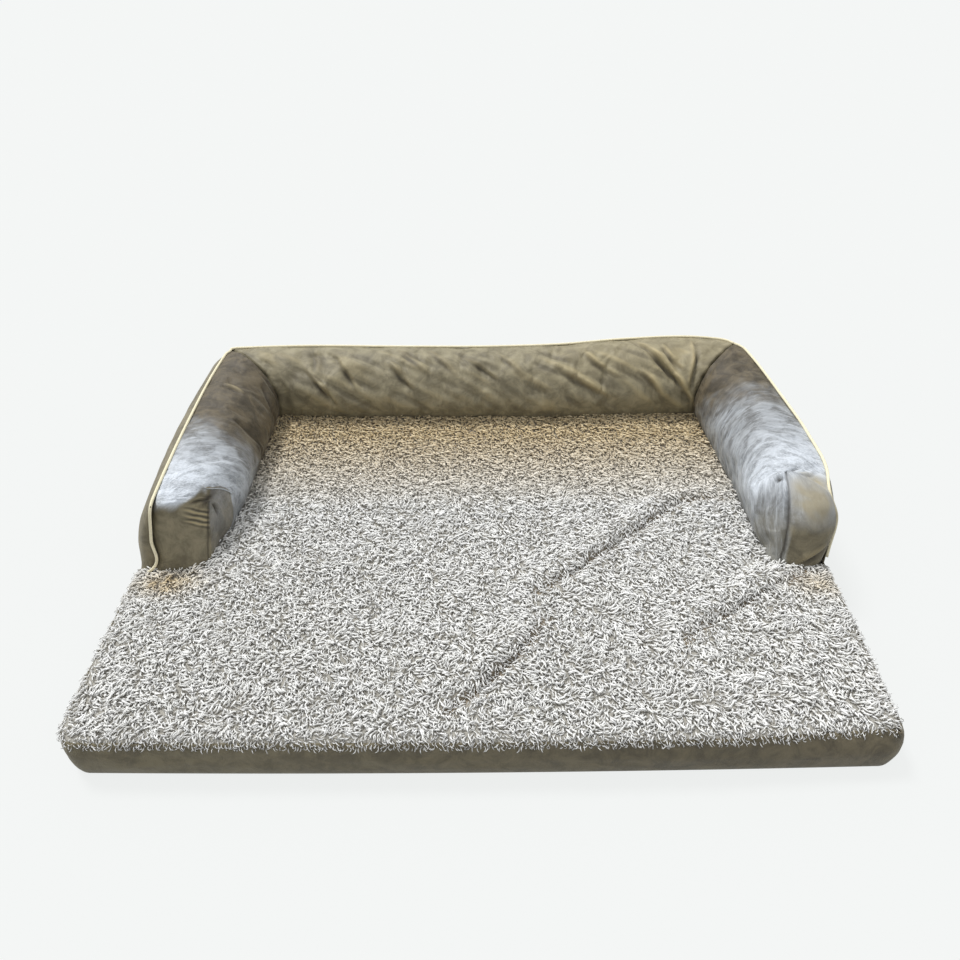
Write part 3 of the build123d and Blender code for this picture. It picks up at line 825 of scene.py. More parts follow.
def arm_bolster(side, section, edge, lip, seam, bulge, inner_bulge, hood, tail, soft):
    """An arm's cover: its run from the mitre to the lip, and its end, drawn from the lip to the seam."""
    front = np.empty(section.shape[1])
    front[:skin_count] = read_rows(lip, skin_share)[:, 0]
    front[skin_count:skin_count + floor_count] = np.linspace(front[skin_count - 1], edge[1][2], floor_count)
    turned = section.copy()
    outer = slice(skin_count + floor_count, None)
    turned[:, outer], front[outer] = turned_in(section[:, outer], edge)
    run = lay_arm(side, turned, arm_share, front)[::-1]
    lip_ring = run[-1]
    top = side_count - 1
    step = np.zeros(len(lip_ring), int)
    step[:skin_count - tail] = top
    step[skin_count - tail:skin_count] = np.round(np.linspace(top, 0, tail)).astype(int)
    step[outer] = np.arange(side_count)
    target = seam_line(seam, side_count)[step]
    on_inner, on_crown, on_side = np.zeros((3, len(lip_ring)))
    on_inner[:skin_count] = smooth((skin_share - 0.5) / 0.2) * smooth((1.04 - skin_share) / 0.3)
    on_crown[:skin_count] = 1 - smooth(skin_share / 0.45)
    rise = np.linspace(0, 1, side_count)
    on_side[outer] = smooth(np.linspace(0.45, 1, side_count)) * (1 - 0.5 * rise ** 4)
    on_crown[outer] = rise ** 3
    rings = []
    for part in end_rings:
        ring = lip_ring + (target - lip_ring) * part
        arch = np.sin(pi * part) ** 0.8
        ring[:, 1] -= arch * (bulge * on_side + inner_bulge * on_inner)
        ring[:, 0] += side * arch * (0.8 * bulge * on_side - 0.6 * inner_bulge * on_inner)
        ring[:, 2] += 0.35 * bulge * arch * on_crown
        ring[:, 1] += hood * hooded * bell((part - 0.18) / 0.14)
        rings.append(ring)
    points = np.concatenate([run, np.array(rings)])
    for turn in range(soft):
        eased = (points[:-2] + 2 * points[1:-1] + points[2:]) / 4
        near = bell((np.arange(1, len(points) - 1) - len(run) + 1) / 7)[:, None]
        near = (near * (1 - hooded * (hood > 0)))[..., None]
        points[1:-1] += near * (eased - points[1:-1])
    return points


def stuffed(piece, swell, reach):
    """Lets a cover's cloth, cut a little large, settle over its filling while its seams are held."""
    free = value_of(piece, "free")
    before, normals = points_of(piece.data)
    set_points(piece, before - normals * swell * free[:, None])
    held = piece.vertex_groups.new(name="held")
    for index, share in enumerate(free):
        held.add([index], 1 - float(share), "REPLACE")
    stuffing = piece.modifiers.new("stuffing", "CLOTH")
    cloth_values = {"quality": 5, "mass": 0.3, "tension_stiffness": 15, "compression_stiffness": 15,
                    "shear_stiffness": 5, "bending_stiffness": 0.15, "use_pressure": True,
                    "uniform_pressure_force": 4, "shrink_min": -0.03, "vertex_group_mass": "held"}
    for name, value in cloth_values.items():
        setattr(stuffing.settings, name, value)
    stuffing.settings.effector_weights.gravity = 0
    stuffing.collision_settings.use_collision = False
    stuffing.point_cache.frame_start = 1
    stuffing.point_cache.frame_end = last_frame
    for step in range(1, last_frame + 1):
        bpy.context.scene.frame_set(step)
    move = points_of(finished_mesh(piece))[0] - before
    move *= np.minimum(1, reach / np.maximum(np.linalg.norm(move, axis=1, keepdims=True), 1e-6))
    piece.modifiers.clear()
    piece.vertex_groups.clear()
    bpy.context.scene.frame_set(1)
    set_points(piece, before + move)


hooded = np.zeros(skin_count + floor_count + side_count)
hooded[:skin_count] = smooth((skin_share - 0.26) / 0.12) * smooth((0.70 - skin_share) / 0.1)
bolster_points = {
    "left": arm_bolster(-1, left_section, left_edge, left_lip, left_seam, bulge=0.014, inner_bulge=0.005,
                        hood=0.012, tail=18, soft=36),
    "right": arm_bolster(1, right_section, right_edge, right_lip, right_seam, bulge=0.028, inner_bulge=0.010,
                         hood=0, tail=20, soft=40),
    "back": lay_back(back_section, back_share, left_section[-1], right_section[-1])}

# Each cover's creases: the route, the depth, the width and the ridge, with the way to it
# Each crease also gets painted shade in its valley and a painted highlight on its ridge.
creases = {
    "back": (
        (((0.276, 0.358, 0.178), (0.303, 0.331, 0.179), (0.324, 0.3, 0.171), (0.354, 0.274, 0.147),
          (0.387, 0.263, 0.101), (0.394, 0.268, 0.075)), 0.010, 0.0055, 0.005, (0.85, 0, 0.4)),
        (((0.402, 0.36, 0.178), (0.399, 0.343, 0.179), (0.393, 0.304, 0.173), (0.384, 0.276, 0.15),
          (0.381, 0.266, 0.129)), 0.008, 0.0045, 0.004, (-0.9, 0, 0)),
        (((0.126, 0.3, 0.174), (0.147, 0.284, 0.159), (0.18, 0.272, 0.144), (0.234, 0.263, 0.113)), 0.003,
         0.007, 0.007, (0.5, 0, 0.6)),
        (((0.176, 0.335, 0.179), (0.205, 0.3, 0.168), (0.25, 0.276, 0.152)), 0.003, 0.006, 0.006,
         (0.5, 0, 0.6)),
        (((0.284, 0.29, 0.16), (0.3, 0.278, 0.15), (0.328, 0.263, 0.12)), 0.003, 0.006, 0.007,
         (0.5, 0, 0.6)),
        (((0.33, 0.34, 0.179), (0.345, 0.31, 0.173), (0.366, 0.29, 0.16)), 0.005, 0.005, 0.005,
         (0.7, 0, 0.3)),
        (((-0.04, 0.316, 0.177), (-0.003, 0.293, 0.167), (0.03, 0.274, 0.148)), 0.004, 0.005, 0.004,
         (0.5, 0, 0.6)),
        (((0.022, 0.33, 0.179), (0.045, 0.304, 0.173), (0.076, 0.277, 0.152)), 0.003, 0.006, 0.004,
         (0.5, 0, 0.6)),
        (((-0.27, 0.325, 0.178), (-0.243, 0.284, 0.159), (-0.22, 0.265, 0.125)), 0.005, 0.006, 0.004,
         (0.5, 0, 0.5)),
        (((-0.325, 0.296, 0.168), (-0.288, 0.269, 0.137), (-0.262, 0.263, 0.098)), 0.005, 0.006, 0.004,
         (0.5, 0, 0.5)),
        (((-0.171, 0.304, 0.173), (-0.144, 0.279, 0.154), (-0.12, 0.268, 0.132)), 0.004, 0.006, 0.004,
         (0.5, 0, 0.5)),
        (((-0.31, 0.34, 0.179), (-0.3, 0.31, 0.175), (-0.3, 0.285, 0.16)), 0.003, 0.006, 0.004,
         (0.6, 0, 0.4)),
        (((-0.16, 0.338, 0.179), (-0.123, 0.304, 0.173), (-0.095, 0.279, 0.155)), 0.003, 0.006, 0.004,
         (0.5, 0, 0.5)),
        (((-0.106, 0.338, 0.179), (-0.072, 0.304, 0.173), (-0.041, 0.277, 0.152)), 0.003, 0.006, 0.004,
         (0.5, 0, 0.5)),
        (((-0.43, 0.35, 0.172), (-0.405, 0.325, 0.152), (-0.378, 0.292, 0.105)), 0.004, 0.006, 0.004,
         (-0.8, 0, 0))),
    "left": (
        (((-0.442, 0.214, 0.18), (-0.423, 0.208, 0.178), (-0.404, 0.198, 0.172)), 0.006, 0.0045, 0.003,
         (0, 0.9, 0)),
        (((-0.388, 0.258, 0.158), (-0.375, 0.235, 0.138), (-0.369, 0.222, 0.11)), 0.005, 0.007, 0.002,
         (-0.9, 0, 0)),
        (((-0.421, -0.064, 0.154), (-0.408, -0.054, 0.151), (-0.397, -0.045, 0.147)), 0.004, 0.003, 0.002,
         (0, 0, -1)),
        (((-0.378, -0.052, 0.12), (-0.386, -0.046, 0.132), (-0.395, -0.046, 0.143)), 0.006, 0.0035, 0.003,
         (0.7, 0, 0.7))),
    "right": (
        (((0.425, -0.03, 0.156), (0.4327, -0.0305, 0.1623), (0.4395, -0.028, 0.17)), 0.007, 0.003, 0.002,
         (0, 0.9, 0)),
        (((0.438, -0.023, 0.17), (0.45, -0.02, 0.174), (0.468, -0.015, 0.176)), 0.005, 0.0035, 0.004,
         (0, -0.9, 0)),
        (((0.452, -0.04, 0.178), (0.474, -0.036, 0.18), (0.492, -0.022, 0.178)), 0.002, 0.004, 0.005,
         (0, 0.9, 0)),
        (((0.5, -0.096, 0.092), (0.48, -0.112, 0.078), (0.458, -0.116, 0.068)), 0.005, 0.006, 0.003,
         (0, 0, 1)))}

# The grooves of the upright seams, with their depth and width, and painted shade in each
seam_grooves = {"left": (left_seam, 0.0032, 0.0016), "right": (right_seam, 0.0035, 0.0018)}
for name, points in bolster_points.items():
    arm = name != "back"
    way = np.concatenate([0 * arm_share, end_rings]) if arm else 0 * back_share
    lengths = lengths_along[name]
    if arm:
        lengths = np.concatenate([lengths[::-1], -end_rings * end_length])
    from_end = np.arange(len(points))
    loose = np.zeros(points.shape[:2])
    loose[:, :skin_count] = smooth(skin_share / 0.08) * smooth((1 - skin_share) / 0.08)
    loose *= smooth((from_end - 1) / 3)[:, None]
    loose *= smooth((len(points) - 2 - from_end) / (9 if arm else 3))[:, None]
    bolster = closed_tube("bolster_%s_velvet" % name, rounded(points, back_corners),
                          (lengths, np.append(around_length, whole_length)), sewn=arm,
                          end=np.repeat(way, points.shape[1]), free=loose.ravel())
    stuffed(bolster, swell=0.002, reach=0.007)
    round_off = bolster.modifiers.new("soft surface", "SUBSURF")
    round_off.levels = 1
    round_off.render_levels = 1
    fine_mesh = finished_mesh(bolster)
    bolster.modifiers.clear()
    bolster.data = fine_mesh
    way = value_of(bolster, "end")
    places, normals = points_of(bolster.data)
    swell = 0.0016 * noise_field(places, 0.06, 1) + 0.0006 * noise_field(places, 0.022, 9)
    valley_shade_share, crest_highlight_share = np.zeros((2, len(places)))
    if name == "back":
        down = (0.53 - places[:, 1] - places[:, 2]) * 0.8
        along = 0.87 * places[:, 0] + 0.5 * down
        across = 0.87 * down - 0.5 * places[:, 0]
        wrinkle = noise_field(np.stack([along, across, 0 * down], -1), (0.07, 0.016, 1), 5)
        wrinkle = wrinkle * smooth((places[:, 2] - 0.075) / 0.03) * smooth(down / 0.03)
        swell += 0.0036 * wrinkle
        # Painted shade in the wrinkles' hollows and painted highlight on their crests.
        valley_shade_share = 0.42 * smooth((-wrinkle - 0.10) / 0.4)
        crest_highlight_share = 0.36 * smooth((wrinkle - 0.10) / 0.45)
    else:
        ripple = noise_field(places, (0.08, 0.013, 0.08), 5)
        swell += 0.0008 * ripple
        # Painted shade in the ripples' hollows.
        valley_shade_share = 0.10 * smooth((-ripple - 0.1) / 0.4)
    # Painted shade in crease valleys and painted highlight on their crests, stronger on the back.
    for route, depth, width, ridge, toward in creases[name]:
        move, low, high = crease(places, on_cloth(places, route), depth, width, ridge, toward)
        swell += move
        valley_shade_share = np.maximum(valley_shade_share, 0.9 * low)
        crest_highlight_share = np.maximum(crest_highlight_share, (0.6 if arm else 0.75) * high)
    if arm:
        seam, depth, width = seam_grooves[name]
        move, low, high = crease(places, on_cloth(places, seam_line(seam, 14)), depth, width, open_end=True)
        swell += move
        # Painted shade in the seam's groove.
        valley_shade_share = np.maximum(valley_shade_share, 0.8 * low)
    swell = np.where(places[:, 2] < waist_height + 0.006, 0, swell)
    set_points(bolster, places + normals * swell[:, None])
    if name == "back":
        # Painted highlight: crests grow brighter towards the right of the back, and a warm painted highlight
        # lies over the top of its right third.
        warm = smooth((places[:, 0] - 0.05) / 0.2)
        carry(bolster, brown=0.1, valley=valley_shade_share,
              crest=crest_highlight_share * (0.55 + 0.45 * warm) + 0.12 * warm * smooth((places[:, 2] - 0.12) / 0.05))
    else:
        x, y, z = places.T
        start = 0.135 if name == "left" else 0.224
        rag = 0.030 * noise_field(places, (0.05, 0.02, 0.05), 4) + 0.012 * noise_field(places, 0.012, 14)
        arc = 0.25 * (np.abs(x) - 0.42) if name == "left" else 0.35 * (0.17 - z) - 0.2 * (x - 0.45)
        # Painted sheen over the front part of each arm, ending towards the rear in a ragged, curved edge.
        painted_sheen_share = smooth((start + rag + arc - y) / 0.085)
        brown = smooth((y + 0.02) / 0.08)
        if name == "left":
            # Painted shade on the left arm's end below the brim of its hood: the sheen is taken away and the
            # velvet turns browner; the wedge right of the seam keeps a little sheen but turns browner still.
            wedge = smooth((x + 0.3985) / 0.002)
            gone = smooth((x + 0.406) / 0.006) * smooth((way - 0.02) / 0.05)
            brim = np.interp(x, (-0.4516, -0.4347, -0.4214, -0.412, -0.405, -0.399),
                             (0.165, 0.158, 0.1555, 0.1585, 0.163, 0.172))
            soft_edge = 0.006 + 0.012 * smooth((-0.42 - x) / 0.02)
            below = smooth((brim + 0.2 * rag - z) / soft_edge + 0.5) * smooth((-0.03 - y) / 0.015)
            gone = np.maximum(gone, (1 - wedge) * below)
            nap = painted_sheen_share * (1 - gone * (1 - 0.24 * wedge))
            # Painted highlight over the front of the arm's top.
            bright = smooth((0.085 - y) / 0.13) * smooth((z - 0.08) / 0.06)
            brown = np.maximum(brown, gone * (0.35 + 0.3 * wedge))
            # Painted shade: a dark spot where the dart tucks under the hood.
            dart_shade = bell((x + 0.400) / 0.007, (z - 0.1475) / 0.005) * smooth((way - 0.05) / 0.05)
            valley_shade_share = np.maximum(valley_shade_share, dart_shade)
        else:
            right_part = smooth((x - 0.440) / 0.003)
            # A taupe patch on the right arm's end: browner velvet with less sheen, under a painted warm
            # highlight.
            patch = bell((x - 0.470) / 0.028, (z - 0.158) / 0.022) * smooth((-0.02 - y) / 0.02)
            patch *= smooth((x - 0.438) / 0.006) * (0.85 + 0.5 * noise_field(places, 0.014, 21))
            # Painted shade on the lower end, where the sheen fades and the velvet right of the seam turns
            # browner.
            low_end_shade = smooth((0.150 - z) / 0.035) * smooth((-0.04 - y) / 0.03)
            on_end = smooth((0.172 - z) / 0.03) * smooth((-0.015 - y) / 0.03)
            patch = np.clip(1.6 * patch, 0, 1)
            nap = painted_sheen_share * (1 - 0.80 * patch) * (1 - low_end_shade * (0.40 + 0.58 * right_part))
            # Painted highlight over the front of the arm's top, but not on its end, and less on the patch.
            bright = 0.85 * smooth((0.13 - y) / 0.15) * smooth((z - 0.08) / 0.06)
            bright = bright * (1 - on_end) * (1 - 0.7 * patch)
            brown = np.maximum(brown, np.maximum(0.35 * patch, 0.45 * low_end_shade * right_part))
            crest_highlight_share = np.maximum(crest_highlight_share, 0.45 * patch)
        carry(bolster, nap=nap, bright=bright, brown=brown, valley=valley_shade_share, crest=crest_highlight_share)
        if name == "left":
            slope = z + 0.74 * (x + 0.397)
            # Where the painted gathers lie, and the phase of their stripes of painted highlight and painted
            # shade.
            gather = smooth((x + 0.430) / 0.014) * smooth((-0.3965 - x) / 0.002) * smooth((way - 0.1) / 0.1)
            gather *= smooth((slope - 0.108) / 0.005) * smooth((0.136 - slope) / 0.004)
            uneven = 1.6 * noise_field(places, (0.025, 0.025, 0.011), 33)
            carry(bolster, gather=gather, tuck=2 * pi * (slope - 0.113) / 0.0068 + uneven)
    show(bolster, velvet)
    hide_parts("bolster_" + name)


# Bolster cores: pillows of spun fibre that fill the three covers, and are hidden in them. Each follows the
# rings of its cover at a share of their size.
fibre = mingled("spun fibre fill", (222, 222, 218), (240, 240, 238), 70, (160, 0.004), detail=5, distortion=2,
                Roughness=0.95)
core_share = 0.72
core_end = 8
for name, points in bolster_points.items():
    rings = points[:len(lengths_along[name])][core_end:-core_end:2, ::2]
    middle = rings.mean(axis=1, keepdims=True)
    rings = rounded(middle + (rings - middle) * core_share, back_corners)
    core = closed_tube("core_%s_fibre" % name, rings,
                       (np.arange(len(rings)) * 2 * grain, np.linspace(0, whole_length, rings.shape[1] + 1)))
    show(core, fibre)
    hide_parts("core_" + name)


# Piping: a cream cord in the seam between the walls and the bolsters, which also runs down the front edge
# of each arm. It is bias-cut cotton over a filler cord.
piping_cloth = mingled("cream bias cotton", (226, 215, 178), (246, 239, 210), 160, (120, 0.0006),
                       weave=((0.0009, 0.0002),), Roughness=0.7, Sheen_Weight=0.1)
piping_radius = 0.0021
piping_sides = 12


def rings_round(line, radii, sides, up, carried=True):
    """Rings of points square to a line. The way that is up at its start may be carried along it."""
    ahead = np.gradient(line, axis=0)
    ahead /= np.linalg.norm(ahead, axis=1, keepdims=True)
    turn = np.linspace(0, 2 * pi, sides, endpoint=False)[:, None]
    rings = []
    for place, way, radius in zip(line, ahead, radii):
        across = np.cross(way, up)
        across /= np.linalg.norm(across)
        over = np.cross(across, way)
        up = over if carried else up
        rings.append(place + radius * (np.cos(turn) * across + np.sin(turn) * over))
    return np.array(rings)


above_waist = 13
corner = len(wall_rise) - above_waist - 1
for name, points in wall_points.items():
    route = points[:, -1] + np.array([0, 0, 0.7]) * piping_radius
    if name != "back":
        route = np.concatenate([points[0, above_waist:-1], route])
    route = rounded(route, back_corners)
    if name != "back":
        route[:corner, 1] -= 1.2 * piping_radius
        near = route[corner - 7:corner + 8]
        for turn in range(8):
            near[1:-1] = (near[:-2] + 2 * near[1:-1] + near[2:]) / 4
    rings = rings_round(route, np.full(len(route), piping_radius), piping_sides, (0.3, 0.2, 1.0))
    flat = (np.linspace(0, 1, len(route)), np.linspace(0, 2 * pi * piping_radius, piping_sides + 1))
    cord = closed_tube("piping_%s_cord" % name, rings, flat)
    show(cord, piping_cloth)
    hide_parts("piping_" + name)


# Sleeping top: a knitted backing with a long curly pile, rolled over the band in front and sewn under the
# bolsters elsewhere. It is larger than the foam, and lies in a few slanting folds.
top_grain = 0.0045
rim_overlap = 0.0030
left_foot, right_foot = 0.388, 0.418
back_foot = 0.288
columns = int(round(2 * half_width / top_grain))
left_column = int(round((half_width - left_foot) / top_grain))
right_column = columns - int(round((half_width - right_foot) / top_grain))
front_rows = np.linspace(0, 1, int(round((notch_y - front_y) / top_grain)) + 1)[:, None]
rear_rows = np.linspace(0, 1, int(round((back_foot - notch_y) / top_grain)) + 1)[1:, None]
column_share = np.linspace(0, 1, columns + 1)


def side_lines(y):
    """The X of the pile's left and right edges at a Y of the open front."""
    return (-half_width + rim_inset(-half_width, y) - rim_overlap,
            half_width - rim_inset(half_width, y) + rim_overlap)


tuck_under = 0.010
arm_end = 0.282
back_inset = 0.104
seam_drop = 0.0055
rolled_rise, rolled_width = 0.0078, 0.006
crown_rise, crown_width = 0.0055, 0.12
left, right = side_lines(front_y + front_rows * (notch_y - front_y))
x = left + column_share * (right - left)
start = front_line(x) + rim_inset(x, front_y) - rim_overlap
front_block = together(x, start + front_rows * (notch_y - start), 0.0)
joint = front_block[-1, left_column:right_column + 1, 0]
y = notch_y + rear_rows * (back_y - back_inset + tuck_under - notch_y)
run_share = np.clip((y - arm_front) / (arm_end - arm_front), 0, 1)
left = -half_width + read_rows(left_run, run_share)[..., 2] - tuck_under
right = half_width - read_rows(right_run, run_share)[..., 2] + tuck_under
even = (joint - joint[0]) / (joint[-1] - joint[0])
rear_block = together(left + even * (right - left), y, 0.0)
places = np.concatenate([front_block.reshape(-1, 3), rear_block.reshape(-1, 3)])
front_index, rear_index = (np.arange(block.size // 3).reshape(block.shape[:2])
                           for block in (front_block, rear_block))
rear_index = np.vstack([front_index[-1, left_column:right_column + 1], front_index.size + rear_index])
faces = []
for index in (front_index, rear_index):
    corners = np.stack([index[:-1, :-1], index[:-1, 1:], index[1:, 1:], index[1:, :-1]], -1)
    faces.extend(corners.reshape(-1, 4).tolist())
x, y = places[:, 0].copy(), places[:, 1].copy()
left, right = side_lines(y)
front_gap = y - front_line(x) - rim_inset(x, front_y) + rim_overlap
edge_gap = np.minimum(np.minimum(x - left, right - x), front_gap)
edge_gap = np.where(y > notch_y + 0.001, 0.2, edge_gap)
rolled = np.sin(pi / 2 * np.clip(edge_gap / rolled_width, 0, 1))
places[:, 2] = waist_height - seam_drop + rolled_rise * rolled
places[:, 2] += crown_rise * smooth(edge_gap / crown_width)
places[:, 2] += 0.0014 * noise_field(places * (1, 1, 0), 0.09) * smooth(edge_gap / 0.03)
places = rounded(places, front_corners)

fold_routes = (
    ((0.396, 0.044), (0.350, 0.040), (0.311, 0.026), (0.241, -0.032), (0.166, -0.092), (0.111, -0.136),
     (0.064, -0.166)),
    ((0.085, -0.210), (0.078, -0.221), (0.038, -0.271), (-0.004, -0.314), (-0.045, -0.345)),
    ((0.470, -0.120), (0.447, -0.133), (0.393, -0.163), (0.339, -0.197), (0.290, -0.223), (0.258, -0.254)))
flat_places = places * (1, 1, 0)
uphill_way = (-0.014, 0.013, 0)
fold_drop = np.zeros(len(places))
fold_near = np.full(len(places), 1.0)
for route in fold_routes:
    route = [(px, py, 0) for px, py in route]
    fold_drop += crease(flat_places, route, depth=0.007, width=0.008)[0]
    fold_drop += crease(flat_places, np.array(route) + uphill_way, depth=-0.009, width=0.018)[0]
    fold_near = np.minimum(fold_near, distance_to(flat_places, route)[0])
places[:, 2] += fold_drop * smooth(edge_gap / 0.04)

mesh = bpy.data.meshes.new("pile_backing")
mesh.from_pydata(places.tolist(), [], faces)
mesh.shade_smooth()
backing = placed("pile_backing", mesh)

knit = new_finish("knitted backing", Roughness=0.95)
lie = place_of(knit)
knit_shade = mixed(knit, noise_at(knit, lie, 260), (146, 143, 135), (174, 171, 162))
# Painted shade darkens the backing in the fold valleys; the same share tints it tan over the rear and near
# the arms' feet.
paint(knit, mixed(knit, attribute_of(knit, "worn"), knit_shade, (124, 108, 84)))
emboss(knit, (noise_at(knit, lie, 500), 0.0015))

rear = smooth((y - 0.04) / 0.16)
wander = 3.2 * noise_field(flat_places, 0.05, 3) + 2.0 * noise_field(flat_places, 0.015, 13)
wander = wander * (1 - 0.9 * rear) - pi / 2
left_gap, right_gap = x - left, right - x
open_part = y < notch_y + 0.001
to_left, to_right, to_front = (bell(np.maximum(gap, 0) / 0.010) * open_part
                               for gap in (left_gap, right_gap, front_gap))
at_rim = np.clip(to_left + to_right + to_front, 0, 1)
heading_x = np.cos(wander) * (1 - 0.8 * at_rim) + 0.9 * (to_right - to_left)
heading_y = np.sin(wander) * (1 - 0.8 * at_rim) - 0.9 * to_front
locks = noise_field(flat_places, 0.011, 6)
feet = 0.90 * bell((x + 0.448) / 0.040, (y + 0.134) / 0.022)
feet += 0.50 * bell((x - 0.475) / 0.036, (y + 0.144) / 0.022)
tan = np.clip(np.clip((y - 0.02) / 0.2, 0, 1) + feet * (1 + 0.5 * locks), 0, 1)
# The backing's darker share is painted shade in the fold valleys and a tan tint over the rear and near the
# arms' feet.
carry(backing, comb=np.arctan2(heading_y, heading_x), stray=(0.6 - 0.2 * rear) * (1 - 0.4 * at_rim),
      droop=(1 - at_rim) * 0.45 * noise_field(flat_places, 0.012, 19), tan=tan,
      worn=np.clip(0.8 * bell(fold_near / 0.008) + 0.5 * rear + 0.5 * feet, 0, 1),
      tall=(0.95 + 0.34 * locks) * (0.6 + 0.4 * smooth(fold_near / 0.010)) * (1 - 0.42 * at_rim))
patches = 8
patch_layer = backing.data.attributes.new("patch", "INT", "FACE")
centres = np.array([polygon.center.x for polygon in backing.data.polygons])
order = np.argsort(centres, kind="stable")
numbers = np.empty(len(centres), np.int32)
numbers[order] = np.arange(len(centres)) * patches // len(centres)
patch_layer.data.foreach_set("value", numbers)

curl = new_finish("curly pile", Roughness=0.75, Sheen_Weight=0.25)
lie = place_of(curl)
tuft_lie = place_of(curl, stretch=(1, 0.12, 1), cloth=True)
tone = attribute_of(curl, "tone")
tip = attribute_of(curl, "along")
warm = attribute_of(curl, "tan")
fibres = noise_at(curl, tuft_lie, 2200, detail=2)
pale = mixed(curl, tone, (244, 244, 240), (255, 255, 254))
tan_tip = mixed(curl, tone, (206, 184, 142), (242, 224, 184))
tips = mixed(curl, warm, pale, tan_tip)
# Painted shade at the tufts' roots, where they shade one another: each tuft darkens from its tip down to its
# root.
shaded_roots = mixed(curl, warm, (184, 181, 174), (140, 118, 80))
shaded = graded(curl, tip, (0.05, 0.5), shaded_roots, tips)
paint(curl, graded(curl, fibres, (0.4, 0.65, 0.0, 0.3), shaded, mixed(curl, 0.5, shaded, shaded_roots)))
emboss(curl, (fibres, 0.0007))

variants = bpy.data.collections.new("tuft variants")
bpy.context.scene.collection.children.link(variants)
tuft_sides = 3
tuft_steps = 4
tuft_length = 0.0135
tuft_round = 0.011
part = np.linspace(0, 1, tuft_steps + 1)
fine = np.linspace(0, 1, 41)
girth = np.interp(part, (0, 0.35, 0.8, 1), (0.0009, 0.0013, 0.0011, 0.0004))
bends = ((1.7, 0.6), (2.5, -1.4), (2.0, 1.9), (3.0, -0.5), (1.5, -1.6), (2.7, 2.6), (1.2, 1.0), (3.4, 0.9))
for number, (bend, twist) in enumerate(bends):
    tilt, turn = 0.35 + bend * fine ** 1.1, twist * fine
    way = np.stack([np.sin(tilt) * np.cos(turn), np.sin(tilt) * np.sin(turn), np.cos(tilt)], -1)
    path = np.concatenate([np.zeros((1, 3)), np.cumsum((way[1:] + way[:-1]) / 2, axis=0)])
    rings = rings_round(path[::10] * tuft_length / 40, girth, tuft_sides, (0.0, 1.0, 0.0), carried=False)
    flat = (part * tuft_length, np.linspace(0, tuft_round, tuft_sides + 1))
    tuft = grid_piece("tuft_%d" % number, rings, flat, closed=True)
    with opened(tuft.data) as body:
        body.faces.new(body.verts[-tuft_sides:])
        bmesh.ops.recalc_face_normals(body, faces=body.faces)
        for face in body.faces:
            face.smooth = True
    carry(tuft, along=np.repeat(part, tuft_sides))
    bpy.context.scene.collection.objects.unlink(tuft)
    variants.objects.link(tuft)


def carried(tree, name, kind="FLOAT"):
    """What the base mesh carries under a name."""
    node = add_node(tree, "GeometryNodeInputNamedAttribute", {"data_type": kind}, Name=name)
    return end_of(node.outputs, "Attribute")


def chance(tree, low, high, seed, kind="FLOAT"):
    """A random number for each point."""
    node = add_node(tree, "FunctionNodeRandomValue", {"data_type": kind}, Min=low, Max=high, Seed=seed)
    return end_of(node.outputs, "Value")


tree, given, result = node_tree("curly tufts", Patch=0, Spacing=0.00235, Droop=0.1)
here = add_node(tree, "FunctionNodeCompare", {"data_type": "INT", "operation": "EQUAL"},
                A=carried(tree, "patch", "INT"), B=given.outputs["Patch"])
sown = add_node(tree, "GeometryNodeDistributePointsOnFaces", {"distribute_method": "POISSON"},
                Mesh=given.outputs["Geometry"], Selection=end_of(here.outputs, "Result"),
                Distance_Min=given.outputs["Spacing"], Density_Max=240000, Seed=11)
stand = add_node(tree, "FunctionNodeAlignRotationToVector", {"axis": "Z"}, Vector=sown.outputs["Normal"])
strayed = reckon(tree, "MULTIPLY", chance(tree, -1.0, 1.0, 21), carried(tree, "stray"))
heading = reckon(tree, "ADD", carried(tree, "comb"), strayed)
lean = reckon(tree, "ADD", given.outputs["Droop"], chance(tree, -0.35, 0.45, 22))
lean = reckon(tree, "ADD", lean, carried(tree, "droop"))
turning = stand.outputs["Rotation"]
for axis, angle in (((0, 0, 1), heading), ((0, 1, 0), lean)):
    spin = add_node(tree, "FunctionNodeAxisAngleToRotation", Axis=axis, Angle=angle)
    turned = add_node(tree, "FunctionNodeRotateRotation", {"rotation_space": "LOCAL"}, Rotation=turning,
                      Rotate_By=spin.outputs["Rotation"])
    turning = turned.outputs["Rotation"]
picked = add_node(tree, "GeometryNodeCollectionInfo", Collection=variants, Separate_Children=True,
                  Reset_Children=True)
planted = add_node(tree, "GeometryNodeInstanceOnPoints", Points=sown.outputs["Points"], Pick_Instance=True,
                   Instance=picked.outputs["Instances"], Rotation=turning,
                   Instance_Index=chance(tree, 0, len(bends) - 1, 23, "INT"),
                   Scale=reckon(tree, "MULTIPLY", chance(tree, 0.82, 1.15, 24), carried(tree, "tall")))
toned = add_node(tree, "GeometryNodeStoreNamedAttribute", {"data_type": "FLOAT", "domain": "INSTANCE"},
                 Name="tone", Geometry=planted.outputs["Instances"], Value=chance(tree, 0.0, 1.0, 25))
end_tree(tree, toned.outputs["Geometry"], curl, result)
for number in range(patches):
    patch = made_by(tree, backing, "pile_patch_%d" % (number + 1), Patch=number)
    show(patch, curl)
for tuft in list(variants.objects):
    bpy.data.objects.remove(tuft)
bpy.data.collections.remove(variants)
show(backing, knit)
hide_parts("sleeping_top")


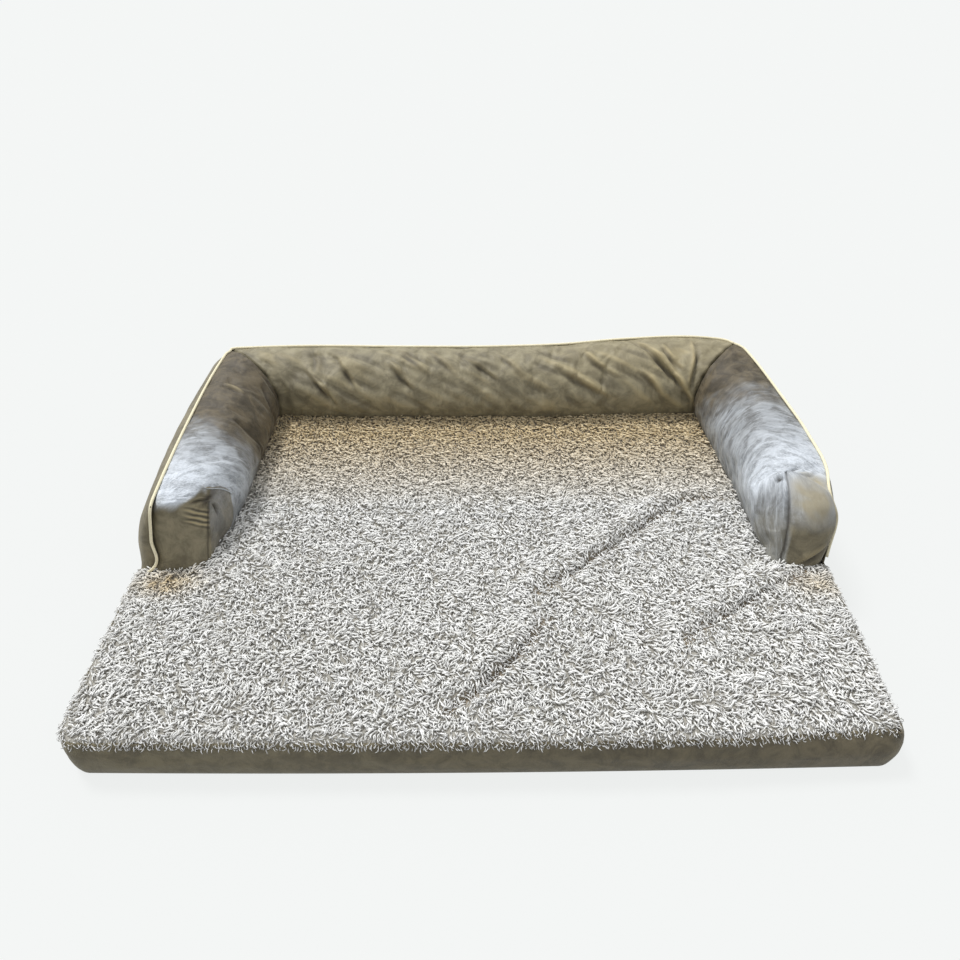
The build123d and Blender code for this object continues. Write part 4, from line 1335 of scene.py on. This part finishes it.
# Floor, daylight from behind on the left, and the camera at the photograph's angle. The floor glows only
# where it is seen, so its glow doesn't light the bed.
floor_size = 30.0
floor_drop = 0.0006
glow_share = 0.885
backdrop = new_finish("pale ground", Roughness=0.9, Base_Color=(0.07, 0.071, 0.0705, 1),
                      Specular_IOR_Level=0.0)
tree = backdrop.node_tree
path = tree.nodes.new("ShaderNodeLightPath")
seen = reckon(tree, "MAXIMUM", path.outputs["Is Camera Ray"], path.outputs["Is Glossy Ray"])
seen = reckon(tree, "MAXIMUM", seen, path.outputs["Is Transmission Ray"])
glow = add_node(tree, "ShaderNodeEmission", Color=colour(244, 246, 245),
                Strength=reckon(tree, "MULTIPLY", seen, glow_share))
both = tree.nodes.new("ShaderNodeAddShader")
tree.links.new(tree.nodes["Principled BSDF"].outputs["BSDF"], both.inputs[0])
tree.links.new(glow.outputs["Emission"], both.inputs[1])
tree.links.new(both.outputs["Shader"], tree.nodes["Material Output"].inputs["Surface"])
reach = floor_size / 2
mesh = bpy.data.meshes.new("ground")
mesh.from_pydata([(x * reach, y * reach, -floor_drop) for x, y in ((-1, -1), (1, -1), (1, 1), (-1, 1))], [],
                 [(0, 1, 2, 3)])
mesh.materials.append(backdrop)
ground = placed("ground", mesh)

scene = bpy.context.scene
world = bpy.data.worlds.new("soft studio")
scene.world = world
world.use_nodes = True
sky = world.node_tree.nodes["Background"]
sky.inputs["Color"].default_value = (0.98, 0.99, 1.0, 1)
sky.inputs["Strength"].default_value = 0.76

day = bpy.data.lights.new("daylight", "SUN")
day.energy = 2.6
day.angle = radians(14)
day_lamp = placed("daylight", day)
day_lamp.rotation_euler = Vector((0.35, -0.35, -0.87)).to_track_quat("-Z", "Y").to_euler()

lens = bpy.data.cameras.new("camera")
lens.lens = 27.04
lens.sensor_width = 36
camera = placed("camera", lens)
pitch_down, yaw, roll = 39.11, -0.475, -0.055
camera_place = (-0.01025, -0.84465, 0.82961)
camera.matrix_world = Matrix.Translation(camera_place)
for angle, axis in ((yaw, "Z"), (90 - pitch_down, "X"), (roll, "Z")):
    camera.matrix_world = camera.matrix_world @ Matrix.Rotation(radians(angle), 4, axis)
scene.camera = camera
scene.view_settings.view_transform = "Standard"
